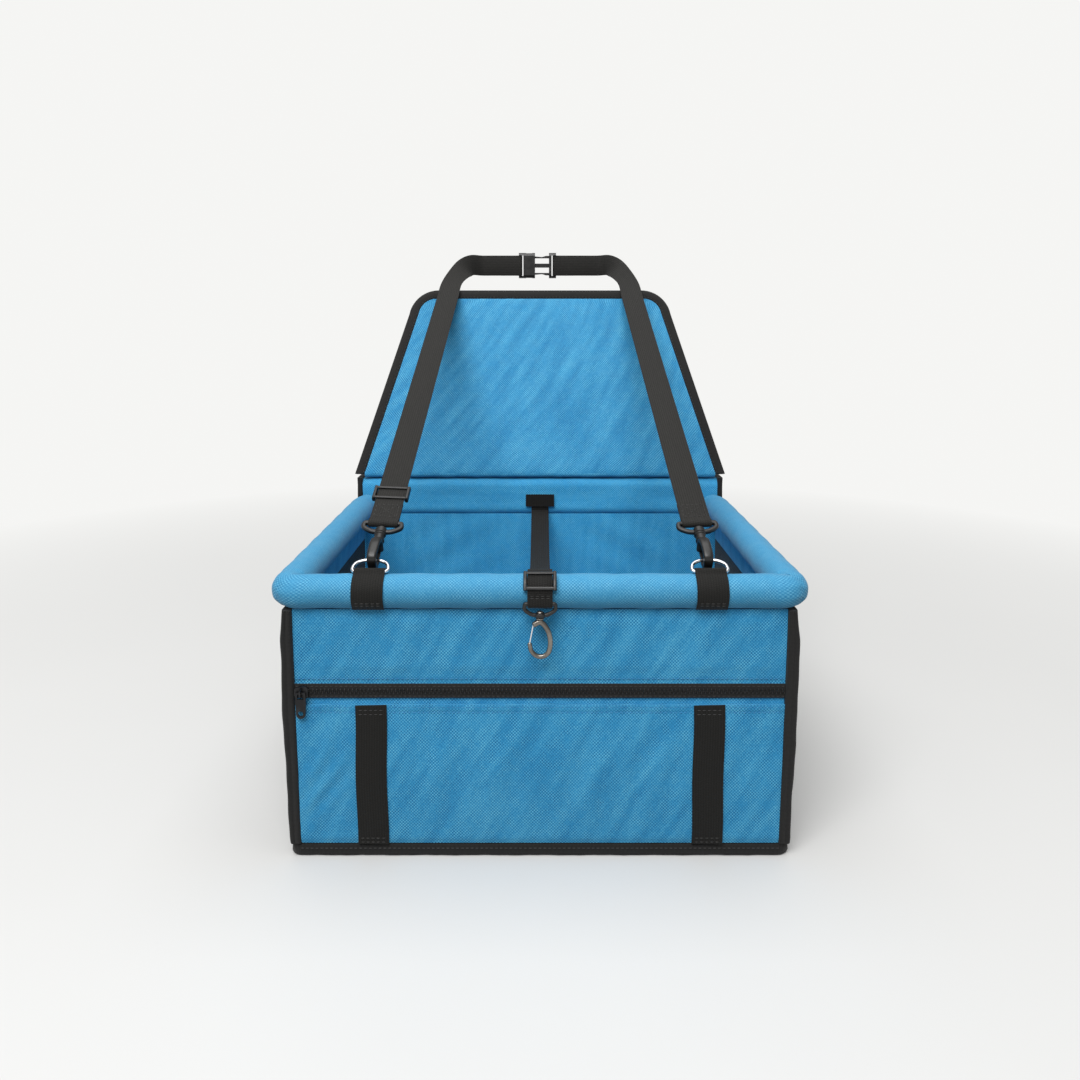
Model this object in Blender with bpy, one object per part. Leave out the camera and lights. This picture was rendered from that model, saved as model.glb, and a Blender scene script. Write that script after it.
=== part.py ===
"""Dog car seat: a fabric booster box on a padded tube rim, with a reclined back panel,
two webbing straps that hang it from a headrest, and a short tether with a snap hook.

Metres, +Z up. The origin is the middle of the underside, +X is the right-hand side
seen from the front, and the front faces -Y.
"""

import math

import bmesh
import bpy
from mathutils import Vector

# Driving dimensions
SEAT_WIDTH = 0.430
SEAT_DEPTH = 0.360
RIM_TOP = 0.2374
RIM_DIAMETER = 0.0284
BACK_LENGTH = 0.2262
BACK_RECLINE_DEG = 19.0
WEBBING = 0.0255
WEBBING_THICK = 0.0012
FIT = 0.0003
SHARP_DEG = 40

# Tube frame inside the rim
TUBE_OD = 0.014
TUBE_WALL = 0.0016
ELBOW_WALL = 0.0015
ELBOW_SOCKET = 0.013
CORNER_RADIUS = 0.016
SLEEVE_STEP = 0.002

# Padded rim
RIM_SINK = 0.0006
RIM_GATHER = 0.0012
RIM_FOLD_PITCH = 0.062

# Back band, the flat sleeve round the rear tube
BAND_DEPTH = 0.030
BAND_BELOW = 0.0115
BAND_ABOVE = 0.0335
BAND_CORNER = 0.010
BAND_INSET = 0.0085
BACK_BAR_INSET = 0.0025

# Base
BASE_INSET = 0.0055
BASE_PROUD = 0.0035
BASE_BACK_INSET = 0.004
BASE_HEM = 0.0105
BASE_HEM_WIDTH = 0.0065
BASE_CORNER = 0.009
BASE_CLOTH = 0.0025
FLOOR_THICK = 0.010
FLOOR_CROWN = 0.004
FLOOR_MARGIN = 0.0025
FLOOR_CHANNEL = 0.0022
FLOOR_CHANNELS = 4

# Walls
FRONT_INSET = 0.010
FRONT_WALL = 0.006
CORNER_WIDE = 0.0095
POCKET_THICK = 0.0022
POCKET_TOP = 0.1300
POCKET_BULGE = 0.0022
SIDE_INSET = 0.0078
SIDE_CLOTH = 0.0026
SIDE_STRIP_CLOTH = 0.0036
SIDE_STRIP_HEIGHT = 0.021
BACK_WALL_SET = 0.003
BACK_WALL = 0.007
BACK_WALL_FOLD = 0.0012
CORNER_BAR = 0.0155
CORNER_BAR_PROUD = 0.0004
CORNER_BAR_ROUND = 0.004

# Zip
ZIP_OVER_POCKET = 0.0112
ZIP_TAPE = 0.0120
ZIP_TAPE_THICK = 0.0010
ZIP_COIL = 0.0046
ZIP_COIL_PROUD = 0.0017
SLIDER_INSET = 0.0065
SLIDER_LONG = 0.0110
SLIDER_TALL = 0.0096
SLIDER_PLATE = 0.0013
SLIDER_BRIDGE_WIRE = 0.0014
SLIDER_BRIDGE_SPAN = 0.0062
SLIDER_BRIDGE_RISE = 0.0034
PULL_LONG = 0.0212
PULL_WIDE = 0.0085
PULL_EYE_WIDE = 0.0050
PULL_THICK = 0.0015
PULL_HOLE = 0.0044
PULL_EYE = 0.0042

# Webbing on the pocket and round the rim
STRAP_INSET = 0.0775
RIM_BAND_DROP_DEG = 55.0

# D-ring
RING_WIRE = 0.0029
RING_HEIGHT = 0.0126

# Snap hook on a shoulder strap, measured along the strap from the ring's bar
HOOK_INNER_HALF = 0.0055
HOOK_INNER_LONG = 0.0180
HOOK_STOCK = 0.0048
HOOK_WIDE = 0.0090
BARREL_LONG = 0.0080
BARREL_RADIUS = 0.0041
COLLAR_RADIUS = 0.0049
COLLAR_LONG = 0.0018
BOSS_LONG = 0.0051
BOSS_RADIUS = 0.0050
POST_RADIUS = 0.0023
POST_HEAD_RADIUS = 0.0038
POST_HEAD_LONG = 0.0018
EYE_WIRE = 0.0040
EYE_WIDE = 0.0360
EYE_SLOT = 0.0063
GATE_WIDE = 0.0050
GATE_THICK = 0.0018

# Shoulder straps
STRAP_TOP_X = 0.1085
STRAP_BEHIND_PANEL = 0.0081
STRAP_OVER_PANEL = 0.0093
POST_X = 0.0754
POST_CLEAR = 0.0120
LOOP_BEHIND = 0.0465
LOOP_RISE = 0.0238
STRAP_TAIL = 0.024

# Ladder adjusters
LADDER_RAIL = 0.0030
LADDER_BAR = 0.0024
LADDER_BAR_THICK = 0.0016
LADDER_LONG = 0.0155
LADDER_PLACE = 0.091
TETHER_LADDER_DEG = 44.0

# Side-release buckle
BUCKLE_TALL = 0.0320
BUCKLE_DEEP = 0.0098
BUCKLE_WALL = 0.0017
SOCKET_START = 0.0270
SOCKET_END = 0.0064
PLUG_SHOULDER = 0.0115
PLUG_END = 0.0205
WEB_SLOT = 0.0034
WEB_BAR = 0.0024
ARM_THICK = 0.0030
ARM_TIP = 0.0175
TONGUE_WIDE = 0.0050
BARB = 0.0022

# Upper back panel
PANEL_THICK = 0.0080
PANEL_OVERHANG = 0.0007
PANEL_TAPER = 0.0657
PANEL_ROUND = 0.030
PANEL_HEM = 0.0130
PANEL_PAD = 0.0042
PANEL_BOARD = 0.0018
PANEL_SWELL = 0.0030

# Tether
TETHER_WIDE = 0.0200
PATCH_WIDE = 0.0330
PATCH_TALL = 0.0142
PATCH_RISE = 0.0146
TETHER_SAG = 0.034
TETHER_RISE_DEG = 40.0
TETHER_LAST_DEG = 8.0
TETHER_TAIL = 0.0080
TETHER_EYE_BELOW = 0.0052
TETHER_EYE_WIDE = 0.0276
TETHER_EYE_WIRE = 0.0032
TETHER_EYE_SLOT = 0.0058
TETHER_BOSS_LONG = 0.0034
TETHER_BOSS_RADIUS = 0.0040
TETHER_POST = 0.0016
TETHER_COLLAR_LONG = 0.0014
TETHER_COLLAR_RADIUS = 0.0034
TETHER_HEAD_RADIUS = 0.0028
TETHER_HEAD_LONG = 0.0012
TETHER_HOOK_LONG = 0.0350
TETHER_HOOK_WIDE = 0.0210
TETHER_HOOK_STOCK = 0.0046
TETHER_GATE_WIRE = 0.0013

# Outlines as shares of the sizes that they follow
SLIDER_OUTLINE_shares = (
    (-1.0, 0.55), (-0.8, 0.80), (0.2, 1.0), (0.75, 1.0), (1.0, 0.7),
    (1.0, -0.7), (0.75, -1.0), (0.2, -1.0), (-0.8, -0.80), (-1.0, -0.55),
)
EYE_OUTLINE_shares = (
    (-0.90, 0.0), (0.90, 0.0), (1.0, -0.18), (0.98, -0.52), (0.68, -0.84), (0.34, -1.0),
    (-0.34, -1.0), (-0.68, -0.84), (-0.98, -0.52), (-1.0, -0.18),
)
HOOK_OUTLINE_shares = (
    (-0.78, 0.93), (0.0, 1.0), (0.70, 0.93), (1.0, 0.66), (1.0, 0.34), (0.78, 0.07),
    (0.28, 0.0), (-0.28, 0.0), (-0.78, 0.07), (-1.0, 0.36),
)
TETHER_HOOK_OUTLINE_shares = (
    (-0.55, 0.93), (0.0, 1.0), (0.50, 0.88), (0.88, 0.66), (1.0, 0.38), (0.82, 0.12),
    (0.28, 0.0), (-0.35, 0.02), (-0.85, 0.17), (-1.0, 0.36),
)
TETHER_GATE_shares = ((-0.656, 0.915), (-1.0, 0.385))
GATE_SPAN_shares = (0.86, 0.41)
TETHER_SAG_shares = ((0.04, 0.18), (0.22, 0.72), (0.48, 1.0), (0.74, 0.74), (0.93, 0.20))
HOOK_TAPER_share = 0.22
RING_ARCH_share = 0.55
RIM_BAND_LIFT_shares = ((0, 1.0), (6, 0.84), (11, 0.36), (16, 0.1), (24, 0.0))
FOLD_EASE_share = 2.2
STRAP_STRAIGHT_share = 0.94
TWIST_END_share = 0.62
PANEL_FOLD_share = 0.25

# Worked out from the sizes above
RIM_RADIUS = RIM_DIAMETER / 2
RIM_Z = RIM_TOP - RIM_RADIUS
RIM_X = SEAT_WIDTH / 2 - RIM_RADIUS
RIM_FRONT_Y = RIM_RADIUS - SEAT_DEPTH / 2
BAND_FACE_Y = SEAT_DEPTH / 2 - BAND_DEPTH
BAND_TUBE_Y = SEAT_DEPTH / 2 - BAND_DEPTH / 2
BAND_BOTTOM_Z = RIM_Z - BAND_BELOW
BAND_TOP_Z = RIM_Z + BAND_ABOVE
FRONT_FACE = SEAT_DEPTH / 2 - FRONT_INSET
BASE_HALF = SEAT_WIDTH / 2 - BASE_INSET
BASE_FRONT = FRONT_FACE + BASE_PROUD
BASE_BACK = SEAT_DEPTH / 2 - BASE_BACK_INSET
FRONT_HALF = BASE_HALF - CORNER_WIDE
SIDE_FACE = SEAT_WIDTH / 2 - SIDE_INSET
BACK_WALL_FACE = BAND_FACE_Y + BACK_WALL_SET
BLUE_HALF = SEAT_WIDTH / 2 - BAND_INSET
ZIP_Z = POCKET_TOP + ZIP_OVER_POCKET
SLIDER_REST_X = FRONT_HALF - SLIDER_INSET
RIM_BAND_X = SEAT_WIDTH / 2 - STRAP_INSET
PATCH_TOP = RIM_Z + PATCH_RISE
TETHER_EYE_Z = RIM_Z - TETHER_EYE_BELOW
TUBE_RADIUS = TUBE_OD / 2
ELBOW_RADIUS = TUBE_RADIUS + FIT + ELBOW_WALL
WALL_FOOT_Z = BASE_HEM + FIT
WIRE_RADIUS = RING_WIRE / 2
RING_BAR_Z = RIM_TOP + FIT + WIRE_RADIUS
BAND_RIDE = FIT + WEBBING_THICK / 2

PANEL_FOOT_HALF = SEAT_WIDTH / 2 + PANEL_OVERHANG
PANEL_HEAD_HALF = PANEL_FOOT_HALF - PANEL_TAPER
HINGE = Vector((0, BAND_FACE_Y + PANEL_THICK / 2 + FIT, BAND_TOP_Z + FIT + PANEL_THICK / 2))
RECLINE = math.radians(BACK_RECLINE_DEG)
PANEL_UP = Vector((0, math.sin(RECLINE), math.cos(RECLINE)))
PANEL_REAR = Vector((0, math.cos(RECLINE), -math.sin(RECLINE)))
PANEL_HEAD = HINGE + PANEL_UP * BACK_LENGTH
STRAP_TOP_Y = PANEL_HEAD.y + STRAP_BEHIND_PANEL
STRAP_TOP_Z = PANEL_HEAD.z + STRAP_OVER_PANEL
LOOP_Y = STRAP_TOP_Y + LOOP_BEHIND
LOOP_Z = STRAP_TOP_Z + LOOP_RISE

SIDES = (("left", -1), ("right", 1))

# Looks: red, green, blue, roughness, metallic
CLOTH = (0.045, 0.27, 0.55, 0.8, 0)
CLOTH_DARK = (0.035, 0.21, 0.45, 0.8, 0)
WEB_GREY = (0.045, 0.043, 0.041, 0.8, 0)
BLACK = (0.018, 0.018, 0.018, 0.8, 0)
MESH_BROWN = (0.035, 0.028, 0.023, 0.8, 0)
PLASTIC = (0.030, 0.030, 0.031, 0.4, 0)
ZIP_METAL = (0.018, 0.018, 0.018, 0.4, 0.6)
CHROME = (0.75, 0.76, 0.78, 0.15, 1)
BRONZE = (0.22, 0.20, 0.18, 0.4, 0.8)
PIPE = (0.70, 0.70, 0.68, 0.5, 0)
BOARD = (0.28, 0.22, 0.16, 0.8, 0)


def clear_scene():
    for obj in list(bpy.data.objects):
        bpy.data.objects.remove(obj, do_unlink=True)


def material(name, look):
    mat = bpy.data.materials.new(name)
    mat.use_nodes = True
    shader = mat.node_tree.nodes["Principled BSDF"]
    shader.inputs["Base Color"].default_value = (*look[:3], 1)
    shader.inputs["Roughness"].default_value = look[3]
    shader.inputs["Metallic"].default_value = look[4]
    mat.diffuse_color = (*look[:3], 1)
    return mat


def finish(name, bm, look, origin=(0, 0, 0)):
    """One named object from a closed bmesh in world places, its origin where it turns."""
    bmesh.ops.recalc_face_normals(bm, faces=bm.faces)
    bmesh.ops.translate(bm, vec=-Vector(origin), verts=bm.verts)
    mesh = bpy.data.meshes.new(name)
    bm.to_mesh(mesh)
    bm.free()
    mesh.shade_smooth()
    mesh.set_sharp_from_angle(angle=math.radians(SHARP_DEG))
    mesh.materials.append(material(name, look))
    obj = bpy.data.objects.new(name, mesh)
    obj.location = origin
    bpy.context.collection.objects.link(obj)
    return obj


def combine(obj, bm, operation):
    """Joins or cuts a finished object with one more closed shape."""
    helper = finish(f"{obj.name}.{operation.lower()}.{len(obj.modifiers)}", bm, BLACK)
    helper.hide_render = True
    helper.display_type = "WIRE"
    step = obj.modifiers.new(operation.title(), "BOOLEAN")
    step.operation = operation
    step.object = helper
    return obj


def bridge(bm, first, second):
    count = len(first)
    for i in range(count):
        j = (i + 1) % count
        bm.faces.new((first[i], first[j], second[j], second[i]))


def loft(rings, closed=False, bm=None):
    """A solid through rings of points, capped at both ends or joined into a loop."""
    bm = bm or bmesh.new()
    loops = [[bm.verts.new(p) for p in ring] for ring in rings]
    for first, second in zip(loops, loops[1:]):
        bridge(bm, first, second)
    if closed:
        bridge(bm, loops[-1], loops[0])
    else:
        bm.faces.new(loops[0][::-1])
        bm.faces.new(loops[-1])
    return bm


def hollow(outer, inner):
    """A tube: outer and inner rings share their count of points, not of rings."""
    bm = bmesh.new()
    skins = [[[bm.verts.new(p) for p in ring] for ring in rings] for rings in (outer, inner)]
    for loops in skins:
        for first, second in zip(loops, loops[1:]):
            bridge(bm, first, second)
    bridge(bm, skins[0][0], skins[1][0])
    bridge(bm, skins[0][-1], skins[1][-1])
    return bm


def oval(centre, u, v, ru, rv, count=12, turn_share=0):
    ring = []
    for i in range(count):
        angle = math.tau * (i + turn_share) / count
        ring.append(Vector(centre) + u * (ru * math.cos(angle)) + v * (rv * math.sin(angle)))
    return ring


def rounded_rect(half_u, half_v, radius, steps=3):
    """Outline points of a rectangle with round corners, in its own plane."""
    points = []
    for quarter, (su, sv) in enumerate(((1, 1), (-1, 1), (-1, -1), (1, -1))):
        for i in range(steps + 1):
            angle = math.pi / 2 * (quarter + i / steps)
            points.append(
                (
                    su * (half_u - radius) + radius * math.cos(angle),
                    sv * (half_v - radius) + radius * math.sin(angle),
                )
            )
    return points


def prism(outline, low, high, place):
    """An outline carried from low to high along its normal; place maps (a, b, c)."""
    return loft([[place(a, b, low) for a, b in outline], [place(a, b, high) for a, b in outline]])


def box(lows, highs, place=None):
    place = place or (lambda a, b, c: Vector((a, b, c)))
    outline = ((lows[0], lows[1]), (highs[0], lows[1]), (highs[0], highs[1]), (lows[0], highs[1]))
    return prism(outline, lows[2], highs[2], place)


def frame_ring(outer, inner, low, high, place):
    """A flat frame with one hole, between two outlines of equal count."""
    bm = bmesh.new()
    loops = []
    for outline, level in ((outer, low), (outer, high), (inner, high), (inner, low)):
        loops.append([bm.verts.new(place(a, b, level)) for a, b in outline])
    for first, second in zip(loops, loops[1:] + loops[:1]):
        bridge(bm, first, second)
    return bm


def quilt(across, along, face, back):
    """A closed pad from two surfaces over the unit square."""
    bm = bmesh.new()
    sheets = []
    for surface in (face, back):
        rows = []
        for j in range(along + 1):
            rows.append([bm.verts.new(surface(i / across, j / along)) for i in range(across + 1)])
        sheets.append(rows)
    for rows in sheets:
        for j in range(along):
            for i in range(across):
                bm.faces.new((rows[j][i], rows[j][i + 1], rows[j + 1][i + 1], rows[j + 1][i]))
    front, rear = sheets
    for i in range(across):
        bm.faces.new((front[0][i], front[0][i + 1], rear[0][i + 1], rear[0][i]))
        bm.faces.new((front[-1][i], front[-1][i + 1], rear[-1][i + 1], rear[-1][i]))
    for j in range(along):
        bm.faces.new((front[j][0], front[j + 1][0], rear[j + 1][0], rear[j][0]))
        bm.faces.new((front[j][-1], front[j + 1][-1], rear[j + 1][-1], rear[j][-1]))
    return bm


def tangents(points, closed=False):
    count = len(points)
    found = []
    for i in range(count):
        before = points[i - 1] if closed or i else points[0]
        after = points[(i + 1) % count] if closed or i < count - 1 else points[-1]
        found.append((Vector(after) - Vector(before)).normalized())
    return found


def smooth_route(points, steps):
    """Points of a Catmull-Rom curve through the given points."""
    ends = [points[0] * 2 - points[1], *points, points[-1] * 2 - points[-2]]
    route = []
    for a, b, c, d in zip(ends, ends[1:], ends[2:], ends[3:]):
        square, cube = a * 2 - b * 5 + c * 4 - d, b * 3 - a - c * 3 + d
        for k in range(steps):
            t = k / steps
            route.append((b * 2 + (c - a) * t + square * t**2 + cube * t**3) / 2)
    route.append(points[-1].copy())
    return route


def wire(points, side, ru, rv, count=8, closed=False):
    """A bar of oval section along a flat route; side is the route plane's normal."""
    rings = []
    for i, (point, along) in enumerate(zip(points, tangents(points, closed))):
        u_size = ru[i] if isinstance(ru, list) else ru
        v_size = rv[i] if isinstance(rv, list) else rv
        rings.append(oval(point, side, along.cross(side), u_size, v_size, count, 1 / 2))
    return loft(rings, closed)


def ribbon(points, widths, width, thick):
    """Webbing along a route, lying flat across the given width directions."""
    rings = []
    for point, along, across in zip(points, tangents(points), widths):
        across = (across - along * across.dot(along)).normalized() * (width / 2)
        lift = along.cross(across).normalized() * (thick / 2)
        rings.append([point + across * a + lift * n for a, n in ((1, 1), (-1, 1), (-1, -1), (1, -1))])
    bm = loft(rings)
    sides = list(bm.faces)[:-2]
    # Both broad faces are split along the same diagonal, so that a twist keeps its thickness.
    bmesh.ops.triangulate(bm, faces=sides[::4], quad_method="FIXED")
    bmesh.ops.triangulate(bm, faces=sides[2::4], quad_method="ALTERNATE")
    return bm


def mirrored(side, point):
    return Vector((side * point[0], point[1], point[2]))


def upright(a, b, c):
    """Maps a plan outline and a height."""
    return Vector((a, b, c))


def lengthwise(a, b, c):
    """Maps a (y, z) section and a place along X."""
    return Vector((c, a, b))


def facing(a, b, c):
    """Maps an (x, z) outline and a depth along Y."""
    return Vector((a, c, b))


def under_rim(offset, gap=FIT):
    """Height of the rim's underside at a distance from its middle line."""
    return RIM_Z - math.sqrt((RIM_RADIUS + gap) ** 2 - offset**2)


# Base and walls
BASE_MID_Y = (BASE_BACK - BASE_FRONT) / 2
BASE_HALF_DEPTH = (BASE_BACK + BASE_FRONT) / 2
BAR_BACK_Y = CORNER_BAR - BASE_FRONT - CORNER_BAR_PROUD
SIDE_SPLIT = RIM_Z - RIM_RADIUS - SIDE_STRIP_HEIGHT


def base_outline(inset):
    outline = rounded_rect(BASE_HALF - inset, BASE_HALF_DEPTH - inset, max(BASE_CORNER - inset, FIT))
    return [(x, y + BASE_MID_Y) for x, y in outline]


def build_base():
    hem = frame_ring(base_outline(0), base_outline(BASE_HEM_WIDTH), 0, BASE_HEM, upright)
    finish("base_binding", hem, WEB_GREY)
    inside = base_outline(BASE_HEM_WIDTH + FIT)
    finish("base_panel", prism(inside, 0, BASE_CLOTH, upright), BLACK)
    finish("base_board", prism(inside, BASE_CLOTH + FIT, BASE_HEM, upright), BOARD)
    half_x = FRONT_HALF - FIT
    front = FRONT_WALL - FRONT_FACE + FLOOR_MARGIN
    rear = BACK_WALL_FACE - FLOOR_MARGIN

    def place(u, v, z):
        return Vector(((2 * u - 1) * half_x, front + (rear - front) * v, z))

    def face(u, v):
        edge = min(1, math.sin(math.pi * u) + math.sin(math.pi * v) / 2)
        crown = FLOOR_CROWN * (math.sin(math.pi * u) * math.sin(math.pi * v)) ** (1 / 2)
        channel = FLOOR_CHANNEL * abs(math.cos(math.pi * FLOOR_CHANNELS * u)) ** 6 * edge
        return place(u, v, WALL_FOOT_Z + FLOOR_THICK - FLOOR_CROWN + crown - channel)

    pad = quilt(6 * FLOOR_CHANNELS, 6, face, lambda u, v: place(u, v, WALL_FOOT_Z))
    finish("floor_pad", pad, CLOTH_DARK)


def pocket_face(x, z):
    """Depth of the pocket's outer cloth, which swells between its sewn edges."""
    across = math.cos(math.pi / 2 * x / FRONT_HALF)
    up = math.sin(math.pi * (z - WALL_FOOT_Z) / (POCKET_TOP - WALL_FOOT_Z))
    swell = max(across, 0) ** (1 / 2) * max(up, 0)
    return -(FRONT_FACE + FIT + POCKET_THICK + POCKET_BULGE * swell)


def build_front_wall():
    inner = FRONT_WALL - FRONT_FACE
    levels = [-FRONT_FACE, (inner - FRONT_FACE) / 2, inner]
    section = [(y, under_rim(y - RIM_FRONT_Y)) for y in levels]
    section = [(-FRONT_FACE, WALL_FOOT_Z), *section, (inner, WALL_FOOT_Z)]
    finish("front_panel", prism(section, -FRONT_HALF, FRONT_HALF, lengthwise), CLOTH)

    def spot(u, v):
        return (2 * u - 1) * FRONT_HALF, WALL_FOOT_Z + (POCKET_TOP - WALL_FOOT_Z) * v

    def face(u, v):
        x, z = spot(u, v)
        return Vector((x, pocket_face(x, z), z))

    def back(u, v):
        x, z = spot(u, v)
        return Vector((x, -(FRONT_FACE + FIT), z))

    finish("pocket_panel", quilt(12, 6, face, back), CLOTH)
    steps = 8
    for label, side in SIDES:
        x = side * RIM_BAND_X
        heights = [WALL_FOOT_Z + (POCKET_TOP - WALL_FOOT_Z) * k / steps for k in range(steps + 1)]
        proud = RIM_BAND_X - WEBBING / 2
        route = [Vector((x, pocket_face(proud, z) - BAND_RIDE, z)) for z in heights]
        widths = [Vector((1, 0, 0))] * len(route)
        finish(f"pocket_webbing_{label}", ribbon(route, widths, WEBBING, WEBBING_THICK), WEB_GREY)


def build_corner_bars():
    """Bound vertical corners of the box, front and back."""
    inner_x = FRONT_HALF + FIT
    front_y = -BASE_FRONT - CORNER_BAR_PROUD
    for label, side in SIDES:
        outline = [(inner_x, BAR_BACK_Y), (inner_x, front_y)]
        for k in range(4):
            angle = math.pi / 2 * (k / 3 - 1)
            outline.append(
                (
                    BASE_HALF - CORNER_BAR_ROUND * (1 - math.cos(angle)),
                    front_y + CORNER_BAR_ROUND * (1 + math.sin(angle)),
                )
            )
        outline.append((BASE_HALF, BAR_BACK_Y))
        near = math.hypot(inner_x - (RIM_X - CORNER_RADIUS), BAR_BACK_Y - (RIM_FRONT_Y + CORNER_RADIUS))
        top = under_rim(max(0, near - CORNER_RADIUS))
        outline = [(side * x, y) for x, y in outline]
        finish(f"corner_binding_{label}", prism(outline, WALL_FOOT_Z, top, upright), WEB_GREY)
        inner, outer = side * (BLUE_HALF + FIT), side * (SEAT_WIDTH / 2 - BACK_BAR_INSET)
        flare = BAND_BOTTOM_Z - RIM_RADIUS
        outline = [(inner, WALL_FOOT_Z), (side * BASE_HALF, WALL_FOOT_Z), (outer, flare)]
        outline += [(outer, BAND_TOP_Z), (inner, BAND_TOP_Z)]
        bar = prism(outline, BAND_FACE_Y + FIT, BASE_BACK, facing)
        bar = finish(f"back_corner_binding_{label}", bar, WEB_GREY)
        combine(bar, rear_bore(), "DIFFERENCE")


def build_side_walls():
    front, rear = BAR_BACK_Y + FIT, BAND_FACE_Y - FIT
    for label, side in SIDES:
        low = (side * (SIDE_FACE - SIDE_CLOTH), front, WALL_FOOT_Z)
        high = (side * SIDE_FACE, rear, SIDE_SPLIT)
        finish(f"side_mesh_{label}", box(low, high), MESH_BROWN)
        inner = SIDE_FACE - SIDE_STRIP_CLOTH + FIT
        low = (side * inner, front, SIDE_SPLIT + FIT)
        high = (side * (inner + SIDE_STRIP_CLOTH), rear, under_rim(inner - RIM_X))
        finish(f"side_strip_{label}", box(low, high), CLOTH)


def build_back_wall():
    top = BAND_BOTTOM_Z - FIT

    def place(u, v, y):
        return Vector(((2 * u - 1) * BLUE_HALF, y, WALL_FOOT_Z + (top - WALL_FOOT_Z) * v))

    def face(u, v):
        soft = math.sin(math.pi * u) * math.sin(math.pi * v)
        fold = math.sin(math.tau * 2 * u + math.pi * v)
        return place(u, v, BACK_WALL_FACE + BACK_WALL_FOLD * soft * fold)

    finish("back_wall", quilt(16, 5, face, lambda u, v: place(u, v, BACK_WALL_FACE + BACK_WALL)), CLOTH)


# Rim and its tube frame
def corner_spot(front, degrees, along=0):
    """Middle line and outward direction in a right-hand corner of the frame."""
    y = RIM_FRONT_Y + CORNER_RADIUS if front else BAND_TUBE_Y - CORNER_RADIUS
    angle = math.radians(degrees)
    outward = Vector((math.cos(angle), math.sin(angle), 0))
    tangent = Vector((-math.sin(angle), math.cos(angle), 0))
    centre = Vector((RIM_X - CORNER_RADIUS, y, RIM_Z))
    return centre + outward * CORNER_RADIUS + tangent * along, outward


def frame_rings(stations, count):
    up = Vector((0, 0, 1))
    return [oval(spot, outward, up, radius, radius, count) for spot, outward, radius in stations]


def flipped(stations):
    return [(mirrored(-1, spot), mirrored(-1, outward), radius) for spot, outward, radius in stations]


def half_front_sleeve(skin_radius, deep_radius):
    """Right half of the front sleeve from the middle to the corner's mitre."""
    straight = RIM_X - CORNER_RADIUS
    folds = max(2, round(straight / RIM_FOLD_PITCH))
    outward = Vector((0, -1, 0))
    skin = []
    for k in range(1, folds + 1):
        sink = RIM_SINK if k % 2 else 0
        x = straight * k / (folds + 1)
        skin.append((Vector((x, RIM_FRONT_Y, RIM_Z)), outward, skin_radius - sink))
    for degrees in (270, 285, 300):
        skin.append((*corner_spot(True, degrees), skin_radius))
    skin.append((*corner_spot(True, 315, -FIT / 2), skin_radius - RIM_GATHER))
    socket = straight - ELBOW_SOCKET - FIT
    bore = [(Vector((socket - SLEEVE_STEP, RIM_FRONT_Y, RIM_Z)), outward, TUBE_RADIUS + FIT)]
    bore.append((Vector((socket, RIM_FRONT_Y, RIM_Z)), outward, deep_radius))
    bore.append((*corner_spot(True, 270), deep_radius))
    bore.append((*corner_spot(True, 300), deep_radius))
    bore.append((*corner_spot(True, 315, -FIT / 2), deep_radius / math.cos(math.pi / 12)))
    return skin, bore


def side_sleeve():
    """The right-hand sleeve from the front mitre to the back band."""
    deep = ELBOW_RADIUS + FIT
    outward = Vector((1, 0, 0))
    skin = [(*corner_spot(True, 315, FIT / 2), RIM_RADIUS - RIM_GATHER)]
    for degrees in (330, 345, 360):
        skin.append((*corner_spot(True, degrees), RIM_RADIUS))
    start, end = RIM_FRONT_Y + CORNER_RADIUS, BAND_FACE_Y - FIT
    folds = max(2, round((end - start) / RIM_FOLD_PITCH))
    for k in range(1, folds + 1):
        sink = RIM_SINK if k % 2 else 0
        y = start + (end - start) * k / folds
        skin.append((Vector((RIM_X, y, RIM_Z)), outward, RIM_RADIUS - sink))
    bore = [(*corner_spot(True, 315, FIT / 2), deep / math.cos(math.pi / 12))]
    bore.append((*corner_spot(True, 330), deep))
    bore.append((*corner_spot(True, 360), deep))
    bend = BAND_TUBE_Y - CORNER_RADIUS
    rear_socket = bend - ELBOW_SOCKET - FIT
    flare = deep + max(0, end - bend) / 3
    for y, radius in (
        (start + ELBOW_SOCKET + FIT, deep),
        (start + ELBOW_SOCKET + FIT + SLEEVE_STEP, TUBE_RADIUS + FIT),
        (rear_socket - SLEEVE_STEP, TUBE_RADIUS + FIT),
        (rear_socket, deep),
        (bend, deep),
        (end, flare),
    ):
        bore.append((Vector((RIM_X, y, RIM_Z)), outward, radius))
    return skin, bore


def rear_bore():
    """Room for the rear tube and elbows in the band and the corner bars."""
    deep = ELBOW_RADIUS + FIT
    socket = RIM_X - CORNER_RADIUS - ELBOW_SOCKET - FIT
    backward = Vector((0, 1, 0))
    half = [
        (Vector((socket - SLEEVE_STEP, BAND_TUBE_Y, RIM_Z)), backward, TUBE_RADIUS + FIT),
        (Vector((socket, BAND_TUBE_Y, RIM_Z)), backward, deep),
    ]
    for degrees in (90, 60, 30, 0):
        half.append((*corner_spot(False, degrees), deep))
    start = BAND_FACE_Y - RIM_RADIUS
    half.append((Vector((RIM_X, start, RIM_Z)), Vector((1, 0, 0)), deep))
    return loft(frame_rings([*flipped(half)[::-1], *half], 10))


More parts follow.
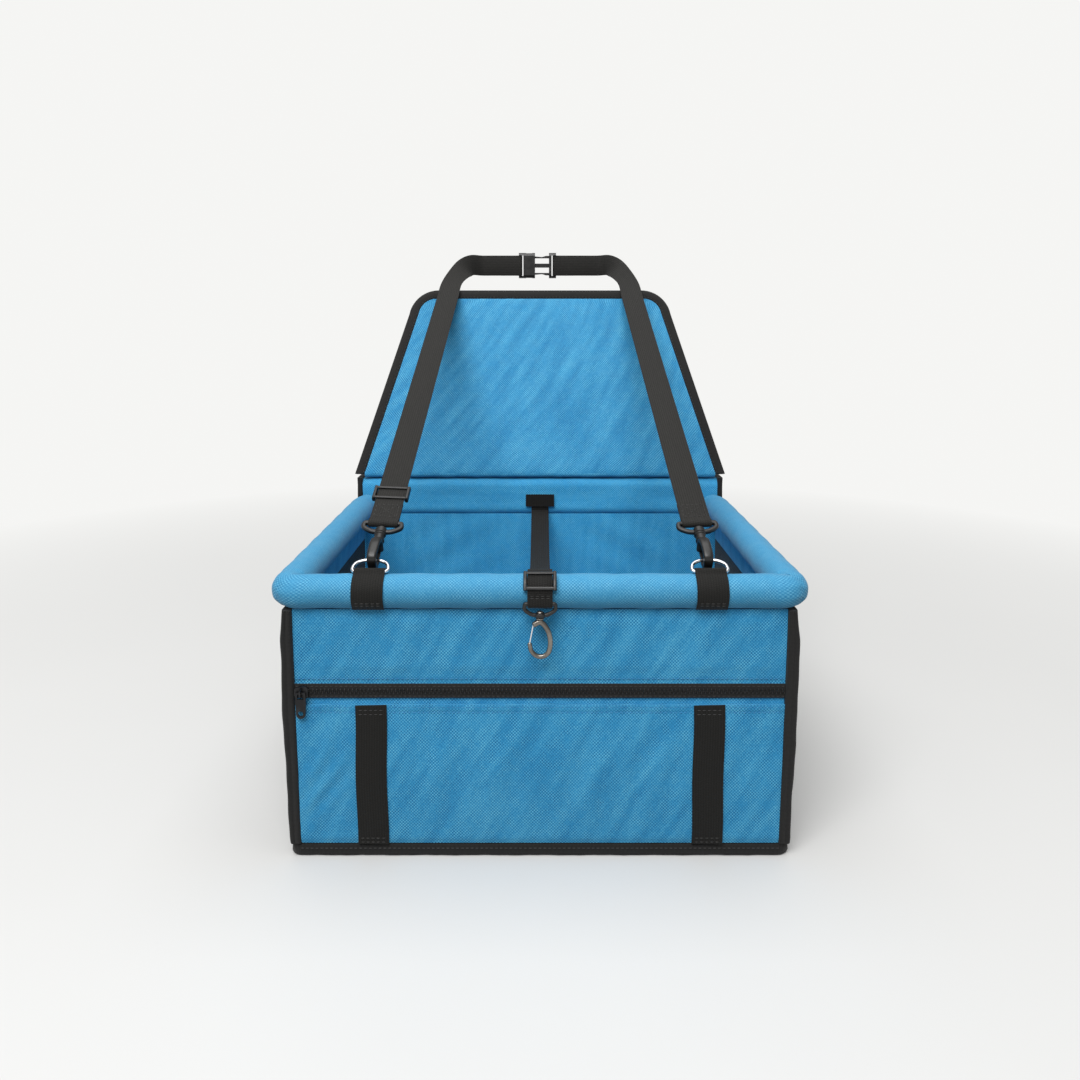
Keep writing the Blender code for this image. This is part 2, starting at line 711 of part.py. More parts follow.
def build_rim():
    deep = ELBOW_RADIUS + FIT
    skin, bore = half_front_sleeve(RIM_RADIUS, deep)
    outer = frame_rings([*flipped(skin)[::-1], *skin], 16)
    inner = frame_rings([*flipped(bore)[::-1], *bore], 16)
    finish("rim_front", hollow(outer, inner), CLOTH)
    skin, bore = side_sleeve()
    for label, side in SIDES:
        if side < 0:
            skin, bore = flipped(skin), flipped(bore)
        finish(f"rim_{label}", hollow(frame_rings(skin, 16), frame_rings(bore, 16)), CLOTH)
        skin, bore = side_sleeve()
    tall = BAND_TOP_Z - BAND_BOTTOM_Z
    section = [
        (y + BAND_TUBE_Y, z + BAND_BOTTOM_Z + tall / 2)
        for y, z in rounded_rect(BAND_DEPTH / 2, tall / 2, BAND_CORNER)
    ]
    band = finish("rim_back", prism(section, -BLUE_HALF, BLUE_HALF, lengthwise), CLOTH)
    combine(band, rear_bore(), "DIFFERENCE")


def build_tube(name, start, end):
    along = (end - start).normalized()
    up = Vector((0, 0, 1))
    rings = []
    for radius in (TUBE_RADIUS, TUBE_RADIUS - TUBE_WALL):
        rings.append([oval(spot, along.cross(up), up, radius, radius, 10) for spot in (start, end)])
    finish(name, hollow(*rings), PIPE)


def build_frame():
    end_x = RIM_X - CORNER_RADIUS - FIT
    front_y = RIM_FRONT_Y + CORNER_RADIUS + FIT
    rear_y = BAND_TUBE_Y - CORNER_RADIUS - FIT
    for place, y in (("front", RIM_FRONT_Y), ("back", BAND_TUBE_Y)):
        build_tube(f"frame_tube_{place}", Vector((-end_x, y, RIM_Z)), Vector((end_x, y, RIM_Z)))
    for label, side in SIDES:
        x = side * RIM_X
        build_tube(f"frame_tube_{label}", Vector((x, front_y, RIM_Z)), Vector((x, rear_y, RIM_Z)))
        for place, front, first, last in (("front", True, 270, 360), ("back", False, 90, 0)):
            reach = ELBOW_SOCKET if last > first else -ELBOW_SOCKET
            skin = [(*corner_spot(front, first, -reach), ELBOW_RADIUS)]
            narrow, wide = TUBE_RADIUS - TUBE_WALL, TUBE_RADIUS + FIT
            bore = [(*corner_spot(front, first, -reach), wide), (*corner_spot(front, first), wide)]
            for step in range(4):
                spot = corner_spot(front, first + (last - first) * step / 3)
                skin.append((*spot, ELBOW_RADIUS))
                bore.append((*spot, narrow))
            bore += [(*corner_spot(front, last), wide), (*corner_spot(front, last, reach), wide)]
            skin.append((*corner_spot(front, last, reach), ELBOW_RADIUS))
            if side < 0:
                skin, bore = flipped(skin), flipped(bore)
            elbow = hollow(frame_rings(skin, 10), frame_rings(bore, 10))
            finish(f"frame_elbow_{place}_{label}", elbow, PIPE)


# Zip
TAPE_FACE_Y = -(FRONT_FACE + FIT + ZIP_TAPE_THICK)
COIL_FACE_Y = TAPE_FACE_Y - ZIP_COIL_PROUD
SLIDER_FACE_Y = COIL_FACE_Y - FIT - SLIDER_PLATE
PULL_CORE = PULL_THICK / 2
PULL_Y = SLIDER_FACE_Y - FIT - math.hypot(PULL_CORE, PULL_CORE)


def build_zip():
    tape_back = -(FRONT_FACE + FIT)
    tape, coil = ZIP_TAPE / 2, ZIP_COIL / 2
    shoulder = coil * 3 / 4
    section = [(tape_back, -tape), (TAPE_FACE_Y, -tape), (TAPE_FACE_Y, -coil), (COIL_FACE_Y, -shoulder)]
    section += [(y, -z) for y, z in section[::-1]]
    section = [(y, z + ZIP_Z) for y, z in section]
    finish("zip_tape", prism(section, -FRONT_HALF, FRONT_HALF, lengthwise), BLACK)

    rest = Vector((-SLIDER_REST_X, SLIDER_FACE_Y, ZIP_Z))
    half_long, half_tall = SLIDER_LONG / 2, SLIDER_TALL / 2
    outline = []
    for x_share, z_share in SLIDER_OUTLINE_shares:
        outline.append((rest.x + half_long * x_share, ZIP_Z + half_tall * z_share))
    plate = prism(outline, TAPE_FACE_Y - FIT, SLIDER_FACE_Y, facing)
    slider = finish("zip_slider", plate, ZIP_METAL, rest)
    room = coil + FIT
    low = (rest.x - SLIDER_LONG, COIL_FACE_Y - FIT, ZIP_Z - room)
    combine(slider, box(low, (rest.x + SLIDER_LONG, TAPE_FACE_Y, ZIP_Z + room)), "DIFFERENCE")
    span, rise = SLIDER_BRIDGE_SPAN / 2, SLIDER_BRIDGE_RISE
    half_route = [(-span, -SLIDER_PLATE / 2), (-span, rise / 2), (-span * 3 / 4, rise)]
    route = half_route + [(-z, y) for z, y in half_route[::-1]]
    route = [rest + Vector((0, -y, z)) for z, y in route]
    half_wire = SLIDER_BRIDGE_WIRE / 2
    combine(slider, wire(route, Vector((1, 0, 0)), half_wire, half_wire, 6), "UNION")

    hang = Vector((rest.x, PULL_Y, ZIP_Z))
    half_wide = PULL_WIDE / 2
    outline = [(hang.x - PULL_EYE_WIDE / 2 - PULL_THICK, hang.z + PULL_CORE)]
    outline.append((hang.x + PULL_EYE_WIDE / 2 + PULL_THICK, hang.z + PULL_CORE))
    outline.append((hang.x + half_wide, hang.z - PULL_WIDE))
    middle = Vector((hang.x, PULL_Y, hang.z - PULL_LONG + half_wide))
    for k in range(1, 6):
        angle = math.pi * k / 6
        outline.append((middle.x + half_wide * math.cos(angle), middle.z - half_wide * math.sin(angle)))
    outline.append((hang.x - half_wide, hang.z - PULL_WIDE))
    tab = prism(outline, PULL_Y - PULL_CORE, PULL_Y + PULL_CORE, facing)
    pull = finish("zip_pull", tab, ZIP_METAL, hang)
    slot_half = PULL_EYE_WIDE / 2
    slot = box(
        (hang.x - slot_half, PULL_Y - PULL_THICK, hang.z - PULL_CORE - PULL_EYE),
        (hang.x + slot_half, PULL_Y + PULL_THICK, hang.z - PULL_CORE),
    )
    combine(pull, slot, "DIFFERENCE")
    forward, level, up = Vector((0, PULL_THICK, 0)), Vector((1, 0, 0)), Vector((0, 0, 1))
    radius = PULL_HOLE / 2
    hole = [oval(middle + forward * way, level, up, radius, radius, 10) for way in (-1, 1)]
    combine(pull, loft(hole), "DIFFERENCE")


# Shoulder harness: each side's pieces lie along one taut line
HOOK_HEIGHT = HOOK_INNER_LONG + HOOK_STOCK
HOOK_REACH = HOOK_INNER_HALF + HOOK_STOCK / 2
HOOK_FOOT = RING_HEIGHT - WIRE_RADIUS - FIT - HOOK_STOCK / 2
BARREL_END = HOOK_FOOT + HOOK_HEIGHT + HOOK_STOCK / 2 + BARREL_LONG
EYE_DROP = EYE_SLOT + EYE_WIRE
BOSS_MID = BARREL_END + FIT + BOSS_LONG / 2
EYE_BAR = BOSS_MID + EYE_DROP


class Line:
    """A local frame: across, along and lift directions from one origin."""

    def __init__(self, origin, along, across):
        self.origin = Vector(origin)
        self.along = along.normalized()
        self.across = (across - self.along * across.dot(self.along)).normalized()
        self.lift = self.across.cross(self.along)

    def at(self, across, along, lift):
        return self.origin + self.across * across + self.along * along + self.lift * lift


def harness_line(side):
    origin = Vector((side * RIM_BAND_X, RIM_FRONT_Y, RING_BAR_Z))
    top = Vector((side * STRAP_TOP_X, STRAP_TOP_Y, STRAP_TOP_Z))
    return Line(origin, top - origin, Vector((1, 0, 0)))


def turned(line, spots, count=12):
    """A solid of revolution about a line's own axis, from (along, radius) pairs."""
    return loft([oval(line.at(0, s, 0), line.across, line.lift, r, r, count) for s, r in spots])


def swivel_eye(name, line, bar, drop, wide, stock, boss):
    """Webbing eye with a bored boss for the hook's post."""
    half = (wide - stock) / 2
    route = [line.at(half * x, bar + drop * s, 0) for x, s in EYE_OUTLINE_shares]
    radius = stock / 2
    eye = finish(name, wire(route, line.lift, radius, radius, 8, True), PLASTIC)
    middle, long, boss_radius, bore = boss
    half_long = long / 2
    combine(eye, turned(line, [(middle + way * half_long, boss_radius) for way in (-1, 1)]), "UNION")
    combine(eye, turned(line, [(middle + way * long, bore) for way in (-1, 1)]), "DIFFERENCE")


def hook_body(name, line, spots, sections, barrel, look):
    """A hook bent through (lift, along) spots, with its turned swivel post."""
    route = smooth_route([line.at(0, along, lift) for lift, along in spots], 2)
    across, depth = sections
    taper = [1 - HOOK_TAPER_share * k / (len(route) - 1) for k in range(len(route))]
    stock = wire(route, line.across, [across * t for t in taper], [depth * t for t in taper])
    hook = finish(name, stock, look, line.at(0, max(along for _, along in spots), 0))
    combine(hook, turned(line, barrel), "UNION")


def gate_bar(name, line, ends, across, depth, look):
    """A straight gate from its pivot to its free end, each as (lift, along)."""
    spots = [line.at(0, along, lift) for lift, along in ends]
    finish(name, wire(spots, line.across, across, depth, 6), look, spots[0])


def scaled(shares, reach, foot, height):
    """Hook and gate spots as (lift, along), from shares of the hook's reach and height."""
    return [(reach * lift, foot + height * along) for lift, along in shares]


def build_ring(label, line):
    half = WEBBING / 2 + FIT + WIRE_RADIUS
    corner = WIRE_RADIUS
    route = [line.at(-half + corner, 0, 0), line.at(half - corner, 0, 0), line.at(half, corner, 0)]
    for k in range(1, 8):
        angle = math.pi * k / 8
        arch = RING_HEIGHT * math.sin(angle) ** RING_ARCH_share
        route.append(line.at(half * math.cos(angle), arch, 0))
    route.append(line.at(-half, corner, 0))
    ring = wire(route, line.lift, WIRE_RADIUS, WIRE_RADIUS, 8, True)
    finish(f"d_ring_{label}", ring, CHROME, line.origin)


def build_rim_band(label, side):
    """Webbing round the front sleeve, over the D-ring's bar."""
    lifted = RIM_BAND_LIFT_shares[-1][0]
    half_turn = [(90 + RIM_BAND_DROP_DEG - (90 + RIM_BAND_DROP_DEG - lifted) * k / 6, 0) for k in range(6)]
    half_turn += RIM_BAND_LIFT_shares[::-1]
    turns = [(-degrees, share) for degrees, share in half_turn] + half_turn[-2::-1]
    route = []
    for degrees, share in turns:
        angle = math.radians(degrees)
        reach = RIM_RADIUS + BAND_RIDE + (RING_WIRE + FIT) * share
        spot = Vector((side * RIM_BAND_X, RIM_FRONT_Y - reach * math.sin(angle), RIM_Z))
        route.append(spot + Vector((0, 0, reach * math.cos(angle))))
    widths = [Vector((1, 0, 0))] * len(route)
    finish(f"rim_band_{label}", ribbon(route, widths, WEBBING, WEBBING_THICK), WEB_GREY)


def fold_spots(bar_radius, tail):
    """Webbing sewn round a bar: (along, lift) of the tail, the turn and the run."""
    turn = bar_radius + FIT + WEBBING_THICK / 2
    layer = (WEBBING_THICK + FIT) / 2
    spots = [(tail, -layer), (turn * FOLD_EASE_share, -layer)]
    for k in range(7):
        angle = math.pi * k / 6
        spots.append((-turn * math.sin(angle), -turn * math.cos(angle)))
    spots.append((turn * FOLD_EASE_share, layer))
    return spots


def build_strap(label, side, line, buckle_bar):
    """From the snap hook's eye, up to the headrest and round its post to the buckle."""
    layer = (WEBBING_THICK + FIT) / 2
    route = [line.at(0, EYE_BAR + s, n) for s, n in fold_spots(EYE_WIRE / 2, STRAP_TAIL)]
    across = line.across
    widths = [across] * len(route)
    full = (Vector((side * STRAP_TOP_X, STRAP_TOP_Y, STRAP_TOP_Z)) - line.origin).length
    for share in (1 / 3, 2 / 3, STRAP_STRAIGHT_share):
        route.append(line.at(0, full * share, layer))
        widths.append(across)
    folded = fold_spots(math.hypot(WEB_BAR, WEB_BAR) / 2, STRAP_TAIL)[::-1]
    first_x = buckle_bar + folded[0][0]
    post = POST_X + POST_CLEAR
    half_way = post + (STRAP_TOP_X - post) / 2
    bends = [
        line.at(0, full, layer),
        Vector((side * half_way, STRAP_TOP_Y + POST_CLEAR * 3 / 2, LOOP_Z - POST_CLEAR * 2 / 3)),
        Vector((side * post, LOOP_Y - POST_CLEAR, LOOP_Z)),
        Vector((side * (post - POST_CLEAR), LOOP_Y - layer, LOOP_Z)),
        Vector((side * (first_x + POST_CLEAR), LOOP_Y - layer, LOOP_Z)),
    ]
    curve = smooth_route(bends, 4)
    upright_way = Vector((0, 0, side))
    for k, spot in enumerate(curve):
        turn = min(1, k / (len(curve) - 1) / TWIST_END_share)
        blend = turn * turn * (3 - 2 * turn)
        route.append(spot)
        widths.append((across * (1 - blend) + upright_way * blend).normalized())
    for s, n in folded:
        route.append(Vector((side * (buckle_bar + s), LOOP_Y - n, LOOP_Z)))
        widths.append(upright_way)
    finish(f"strap_{label}", ribbon(route, widths, WEBBING, WEBBING_THICK), WEB_GREY)


def ladder(name, line, place, webbing, level, bend=None):
    """Three-bar adjuster: its outer bars lie over the webbing and its middle bar under it."""
    half = webbing / 2 + FIT
    rail, bar, half_long = LADDER_RAIL, LADDER_BAR, LADDER_LONG / 2
    upper = WEBBING_THICK / 2 + FIT
    rise = upper + LADDER_BAR_THICK
    spot = bend or (lambda a, s, n: line.at(a, place + s, level + n))
    steps = 4

    def strip(low_a, high_a, low_s, high_s, low_n, high_n):
        corners = ((low_a, low_n), (high_a, low_n), (high_a, high_n), (low_a, high_n))
        places = [low_s + (high_s - low_s) * k / steps for k in range(steps + 1)]
        return loft([[spot(a, s, n) for a, n in corners] for s in places])

    outer, proud = half + rail, rise + FIT
    body = finish(name, strip(half, outer, -half_long, half_long, -proud, proud), PLASTIC, spot(0, 0, 0))
    combine(body, strip(-outer, -half, -half_long, half_long, -proud, proud), "UNION")
    inside = half + rail / 2
    for low_s, low_n, high_n in (
        (FIT - half_long, upper, rise),
        (half_long - FIT - bar, upper, rise),
        (-bar / 2, -rise, -upper),
    ):
        combine(body, strip(-inside, inside, low_s, low_s + bar, low_n, high_n), "UNION")


def build_harness():
    layer = (WEBBING_THICK + FIT) / 2
    socket_bar = SOCKET_START - WEB_BAR / 2
    plug_bar = PLUG_END - WEB_BAR / 2
    for label, side in SIDES:
        line = harness_line(side)
        build_rim_band(label, side)
        level = Line(line.origin, Vector((0, line.along.y, line.along.z)), Vector((1, 0, 0)))
        build_ring(label, level)
        boss = (BOSS_MID, BOSS_LONG, BOSS_RADIUS, POST_RADIUS + FIT)
        swivel_eye(f"snap_eye_{label}", line, EYE_BAR, EYE_DROP, EYE_WIDE, EYE_WIRE, boss)
        top = HOOK_FOOT + HOOK_HEIGHT
        boss_top = BOSS_MID + BOSS_LONG / 2
        collar = top + HOOK_STOCK / 2
        barrel = [
            (top - HOOK_STOCK / 4, BARREL_RADIUS),
            (collar, BARREL_RADIUS),
            (collar, COLLAR_RADIUS),
            (collar + COLLAR_LONG, COLLAR_RADIUS),
            (collar + COLLAR_LONG, BARREL_RADIUS),
            (BARREL_END - COLLAR_LONG, BARREL_RADIUS),
            (BARREL_END - COLLAR_LONG, COLLAR_RADIUS),
            (BARREL_END, COLLAR_RADIUS),
            (BARREL_END, POST_RADIUS),
            (boss_top + FIT, POST_RADIUS),
            (boss_top + FIT, POST_HEAD_RADIUS),
            (boss_top + FIT + POST_HEAD_LONG, POST_HEAD_RADIUS * 3 / 4),
        ]
        spots = scaled(HOOK_OUTLINE_shares, HOOK_REACH, HOOK_FOOT, HOOK_HEIGHT)
        hook_body(f"snap_hook_{label}", line, spots, (HOOK_WIDE / 2, HOOK_STOCK / 2), barrel, PLASTIC)
        ends = scaled([(-1, share) for share in GATE_SPAN_shares], HOOK_REACH, HOOK_FOOT, HOOK_HEIGHT)
        gate_bar(f"snap_gate_{label}", line, ends, GATE_WIDE / 2, GATE_THICK / 2, PLASTIC)
        build_strap(label, side, line, socket_bar if side < 0 else plug_bar)
    ladder("strap_adjuster_left", harness_line(-1), LADDER_PLACE, WEBBING, layer)


# Side-release buckle behind the headrest
def buckle_spot(side):
    return lambda a, b, c: Vector((side * c, LOOP_Y + a, LOOP_Z + b))


def cut_web_bar(body, end, place):
    """A slot for the webbing, with the bar that it folds round set below both faces."""
    half = WEBBING / 2 + FIT
    start = end - WEB_BAR - WEB_SLOT
    slot_end, mid_slot, beyond = start + WEB_SLOT, start + WEB_SLOT / 2, end + WEB_BAR
    combine(body, box((-BUCKLE_DEEP, -half, start), (BUCKLE_DEEP, half, slot_end), place), "DIFFERENCE")
    bar = WEB_BAR / 2
    for low, high in ((-BUCKLE_DEEP, -bar), (bar, BUCKLE_DEEP)):
        combine(body, box((low, -half, mid_slot), (high, half, beyond), place), "DIFFERENCE")


def build_buckle():
    deep, tall = BUCKLE_DEEP / 2, BUCKLE_TALL / 2
    corner = deep * 3 / 4
    outline = rounded_rect(deep, tall, corner, 2)
    place = buckle_spot(-1)
    pocket_end = SOCKET_START - WEB_BAR - WEB_SLOT - BUCKLE_WALL
    socket = finish("buckle_socket", prism(outline, SOCKET_END, SOCKET_START, place), PLASTIC)
    hollow_half = tall - BUCKLE_WALL * 2
    inner = deep - BUCKLE_WALL
    mouth = (-inner, -hollow_half, SOCKET_END - BUCKLE_WALL)
    combine(socket, box(mouth, (inner, hollow_half, pocket_end), place), "DIFFERENCE")
    cut_web_bar(socket, SOCKET_START, place)
    window_start = SOCKET_END + BUCKLE_WALL * 2
    window_end = pocket_end - BUCKLE_WALL
    reach = inner - BUCKLE_WALL / 2
    for way in (-1, 1):
        low, high = sorted((way * (hollow_half - BUCKLE_WALL), way * tall * 2))
        window = box((-reach, low, window_start), (reach, high, window_end), place)
        combine(socket, window, "DIFFERENCE")

    place = buckle_spot(1)
    plug = finish("buckle_plug", prism(outline, PLUG_SHOULDER, PLUG_END, place), PLASTIC)
    cut_web_bar(plug, PLUG_END, place)
    arm_half = inner - BUCKLE_WALL / 2 - FIT
    tip = -min(ARM_TIP, window_end - FIT * 2)
    barb_start = -(window_start + FIT)
    inner_wall = hollow_half - FIT
    root = PLUG_SHOULDER + WEB_SLOT / 4
    for way in (-1, 1):
        arm = []
        outline = (
            (root, inner_wall - ARM_THICK),
            (root, inner_wall),
            (PLUG_SHOULDER * 2 / 3, inner_wall),
            ((PLUG_SHOULDER - SOCKET_END) / 2, inner_wall - ARM_THICK / 2),
            (-SOCKET_END, inner_wall - ARM_THICK / 4),
            (barb_start, inner_wall - ARM_THICK / 4),
            (barb_start, inner_wall + BARB / 2),
            ((barb_start + tip) / 2, inner_wall + BARB / 2),
            (tip, inner_wall - ARM_THICK / 2),
            (tip, inner_wall - ARM_THICK),
        )
        for level in (-arm_half, arm_half):
            arm.append([place(level, way * b, c) for c, b in outline])
        combine(plug, loft(arm), "UNION")
    half_tongue = TONGUE_WIDE / 2
    tongue = box((-arm_half, -half_tongue, tip + BARB), (arm_half, half_tongue, root), place)
    combine(plug, tongue, "UNION")


# Upper back panel
def panel_spot(x, length, rear):
    return HINGE + Vector((x, 0, 0)) + PANEL_UP * length + PANEL_REAR * rear


def panel_edge(inset, rows=4, start=0):
    """Right-hand edge of the panel as (half width, length), up to its flat top."""
    round_off = PANEL_ROUND - inset
    shoulder = BACK_LENGTH - PANEL_ROUND

    def half(length):
        share = length / BACK_LENGTH
        return PANEL_FOOT_HALF + (PANEL_HEAD_HALF - PANEL_FOOT_HALF) * share - inset

    lengths = [start + (shoulder - start) * k / rows for k in range(rows + 1)]
    edge = [(half(length), length) for length in lengths]
    for k in range(1, 5):
        angle = math.pi / 2 * k / 4
        drift = (half(shoulder) - half(shoulder + round_off * math.sin(angle))) / 2
        edge.append(
            (
                half(shoulder) - drift - round_off * (1 - math.cos(angle)),
                shoulder + round_off * math.sin(angle),
            )
        )
    return edge


def panel_layer(name, inset, low, high, look, start=0, swell=0, across=1, rows=4):
    edge = panel_edge(inset, rows, start)
    last = len(edge) - 1
    top = edge[-1][1]

    def face(u, v):
        half, length = edge[round(v * last)]
        soft = math.sin(math.pi * u) * math.sin(math.pi * length / top)
        fold = PANEL_FOLD_share * math.sin(math.tau * (2 * u - length / top)) * soft
        return panel_spot((2 * u - 1) * half, length, low - swell * (max(soft, 0) ** (1 / 2) + fold))

    def back(u, v):
        half, length = edge[round(v * last)]
        return panel_spot((2 * u - 1) * half, length, high)

    return finish(name, quilt(across, last, face, back), look, HINGE)


def build_back_panel():
    half_thick = PANEL_THICK / 2
    inset = PANEL_HEM + FIT
    pad_rear = PANEL_PAD - half_thick
    pad = panel_layer("back_panel", inset, -half_thick, pad_rear, CLOTH, 0, PANEL_SWELL, 14, 7)
    half = panel_edge(inset, start=half_thick)[0][0]
    up, rear = Vector((0, 0, 1)), Vector((0, 1, 0))
    ends = [HINGE + Vector((x, 0, 0)) for x in (-half, half)]
    combine(pad, loft([oval(end, up, rear, half_thick, half_thick) for end in ends]), "UNION")
    board_low = pad_rear + FIT
    start = half_thick + FIT
    board_high = board_low + PANEL_BOARD
    panel_layer("back_board", inset, board_low, board_high, BOARD, start)
    panel_layer("back_cover", inset, board_high + FIT, half_thick, BLACK, start)
    outer, inner = panel_edge(0), panel_edge(PANEL_HEM)
    rings = []
    for (x_out, l_out), (x_in, l_in) in zip(outer, inner):
        rings.append(
            [
                panel_spot(x_out, l_out, -half_thick),
                panel_spot(x_out, l_out, half_thick),
                panel_spot(x_in, l_in, half_thick),
                panel_spot(x_in, l_in, -half_thick),
            ]
        )
    rings += [[mirrored(-1, point) for point in ring] for ring in rings[::-1]]
    finish("back_panel_binding", loft(rings), WEB_GREY, HINGE)


# Tether
HANG_REACH = RIM_RADIUS + FIT * 3 + LADDER_BAR_THICK + WEBBING_THICK / 2
TETHER_HANG_Y = RIM_FRONT_Y - HANG_REACH


def build_tether():
    face_y = BAND_FACE_Y - FIT
    strap_y = face_y - WEBBING_THICK / 2
    patch_y = face_y - WEBBING_THICK - FIT
    patch_foot = PATCH_TOP - PATCH_TALL
    low = (-PATCH_WIDE / 2, patch_y - WEBBING_THICK, patch_foot)
    finish("tether_patch", box(low, (PATCH_WIDE / 2, patch_y, PATCH_TOP)), WEB_GREY)

    route = [Vector((0, strap_y, PATCH_TOP - FIT)), Vector((0, strap_y, patch_foot))]
    start = Vector((0, strap_y, patch_foot - WEBBING_THICK * 4))
    rim_low = math.radians(TETHER_RISE_DEG)
    reach = RIM_RADIUS + BAND_RIDE
    end = Vector((0, RIM_FRONT_Y + reach * math.cos(rim_low), RIM_Z + reach * math.sin(rim_low)))
    sag = []
    for y_share, drop_share in TETHER_SAG_shares:
        y = start.y + (end.y - start.y) * y_share
        level = start.z + (end.z - start.z) * y_share
        sag.append(Vector((0, y, level - TETHER_SAG * drop_share)))
    route += smooth_route([start, *sag, end], 2)
    steps = 9
    for k in range(1, steps + 1):
        angle = rim_low + (math.pi - math.radians(TETHER_LAST_DEG) - rim_low) * k / steps
        rise = min(1, max(0, (angle - rim_low) / (math.pi / 2 - rim_low)))
        reach = RIM_RADIUS + BAND_RIDE + (HANG_REACH - RIM_RADIUS - BAND_RIDE) * rise
        y = RIM_FRONT_Y + reach * math.cos(angle)
        route.append(Vector((0, y, RIM_Z + reach * math.sin(angle))))
    for s, n in fold_spots(TETHER_EYE_WIRE / 2, TETHER_TAIL)[::-1]:
        route.append(Vector((0, TETHER_HANG_Y + n, TETHER_EYE_Z + s)))
    widths = [Vector((1, 0, 0))] * len(route)
    finish("tether_strap", ribbon(route, widths, TETHER_WIDE, WEBBING_THICK), WEB_GREY)

    middle = math.pi - math.radians(TETHER_LADDER_DEG)

    def bend(a, s, n):
        angle = middle + s / HANG_REACH
        reach = HANG_REACH + n
        return Vector((a, RIM_FRONT_Y + reach * math.cos(angle), RIM_Z + reach * math.sin(angle)))

    ladder("tether_adjuster", None, 0, TETHER_WIDE, 0, bend)

    hang = Line((0, TETHER_HANG_Y, 0), Vector((0, 0, 1)), Vector((1, 0, 0)))
    drop = TETHER_EYE_SLOT + TETHER_EYE_WIRE
    boss_mid = TETHER_EYE_Z - drop
    boss = (boss_mid, TETHER_BOSS_LONG, TETHER_BOSS_RADIUS, TETHER_POST + FIT)
    swivel_eye("tether_eye", hang, TETHER_EYE_Z, drop, TETHER_EYE_WIDE, TETHER_EYE_WIRE, boss)
    plane = Line((0, TETHER_HANG_Y, 0), Vector((0, 0, 1)), Vector((0, 1, 0)))
    boss_foot = boss_mid - TETHER_BOSS_LONG / 2
    boss_top = boss_mid + TETHER_BOSS_LONG / 2
    collar_foot = boss_foot - FIT - TETHER_COLLAR_LONG
    foot = collar_foot - TETHER_HOOK_LONG + TETHER_HOOK_STOCK
    height = TETHER_HOOK_LONG - TETHER_HOOK_STOCK * 3 / 2
    reach = (TETHER_HOOK_WIDE - TETHER_HOOK_STOCK) / 2
    barrel = [
        (foot + height, TETHER_POST),
        (collar_foot, TETHER_POST),
        (collar_foot, TETHER_COLLAR_RADIUS),
        (boss_foot - FIT, TETHER_COLLAR_RADIUS),
        (boss_foot - FIT, TETHER_POST),
        (boss_top + FIT, TETHER_POST),
        (boss_top + FIT, TETHER_HEAD_RADIUS),
        (boss_top + FIT + TETHER_HEAD_LONG, TETHER_HEAD_RADIUS * 3 / 4),
    ]
    half = TETHER_HOOK_STOCK / 2
    spots = scaled(TETHER_HOOK_OUTLINE_shares, reach, foot, height)
    hook_body("tether_hook", plane, spots, (half, half), barrel, BRONZE)
    ends = scaled(TETHER_GATE_shares, reach, foot, height)
    gate_bar("tether_gate", plane, ends, TETHER_GATE_WIRE / 2, TETHER_GATE_WIRE / 2, CHROME)


def main():
    clear_scene()
    build_base()
    build_front_wall()
    build_corner_bars()
    build_side_walls()
    build_back_wall()
    build_rim()
    build_frame()
    build_zip()
    build_harness()
    build_buckle()
    build_back_panel()
    build_tether()


main()
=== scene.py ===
"""Looks for the dog car seat: cloth, webbing, mesh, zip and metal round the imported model."""

from functools import partialmethod
from math import cos, hypot, pi, radians, sin, sqrt, tau

import bmesh
import bpy
import numpy as np
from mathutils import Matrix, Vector


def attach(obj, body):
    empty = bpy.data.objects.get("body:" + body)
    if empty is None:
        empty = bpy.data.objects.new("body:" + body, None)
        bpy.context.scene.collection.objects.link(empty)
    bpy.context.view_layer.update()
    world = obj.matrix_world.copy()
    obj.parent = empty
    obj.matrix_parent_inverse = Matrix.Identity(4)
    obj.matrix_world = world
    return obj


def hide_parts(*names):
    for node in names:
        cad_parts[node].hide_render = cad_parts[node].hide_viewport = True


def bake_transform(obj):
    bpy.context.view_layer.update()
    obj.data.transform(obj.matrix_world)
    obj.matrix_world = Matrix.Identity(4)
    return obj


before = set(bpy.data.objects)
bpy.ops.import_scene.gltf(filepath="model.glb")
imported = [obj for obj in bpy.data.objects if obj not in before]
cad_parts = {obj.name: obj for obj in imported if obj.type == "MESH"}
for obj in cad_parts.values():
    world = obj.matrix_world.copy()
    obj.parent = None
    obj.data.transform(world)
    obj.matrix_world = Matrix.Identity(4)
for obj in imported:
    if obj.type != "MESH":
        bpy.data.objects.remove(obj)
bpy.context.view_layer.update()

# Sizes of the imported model, in metres
FIT = 0.0003
WEB = 0.0255
WEB_T = 0.0012
LAYER = (WEB_T + FIT) / 2
RIM_R = 0.0142
RIM_X = 0.2008
RIM_Y = -0.1658
RIM_Z = 0.2232
CORNER = 0.016
BAND_Y = 0.165
BAND_Z = 0.2342
BAND_HALF = (0.015, 0.0225)
BAND_FACE = 0.1500
BLUE_HALF = 0.2065
FRONT_Y = -0.170
FRONT_HALF = 0.2000
SIDE_FRONT, SIDE_REAR = -0.1581, 0.1497
FOOT_Z = 0.0108
POCKET_TOP = 0.1300
ZIP_Z = 0.1412
STRIP_X = 0.1375
HINGE = np.array((0, 0.1543, 0.2610))
RECLINE = radians(19)
UP = np.array((0, sin(RECLINE), cos(RECLINE)))
REAR = np.array((0, cos(RECLINE), -sin(RECLINE)))
BACK_LONG = 0.2262
X, Y, Z = np.eye(3)
SIDES = (("left", -1), ("right", 1))


def link(name, data):
    obj = bpy.data.objects.new(name, data)
    bpy.context.collection.objects.link(obj)
    return obj


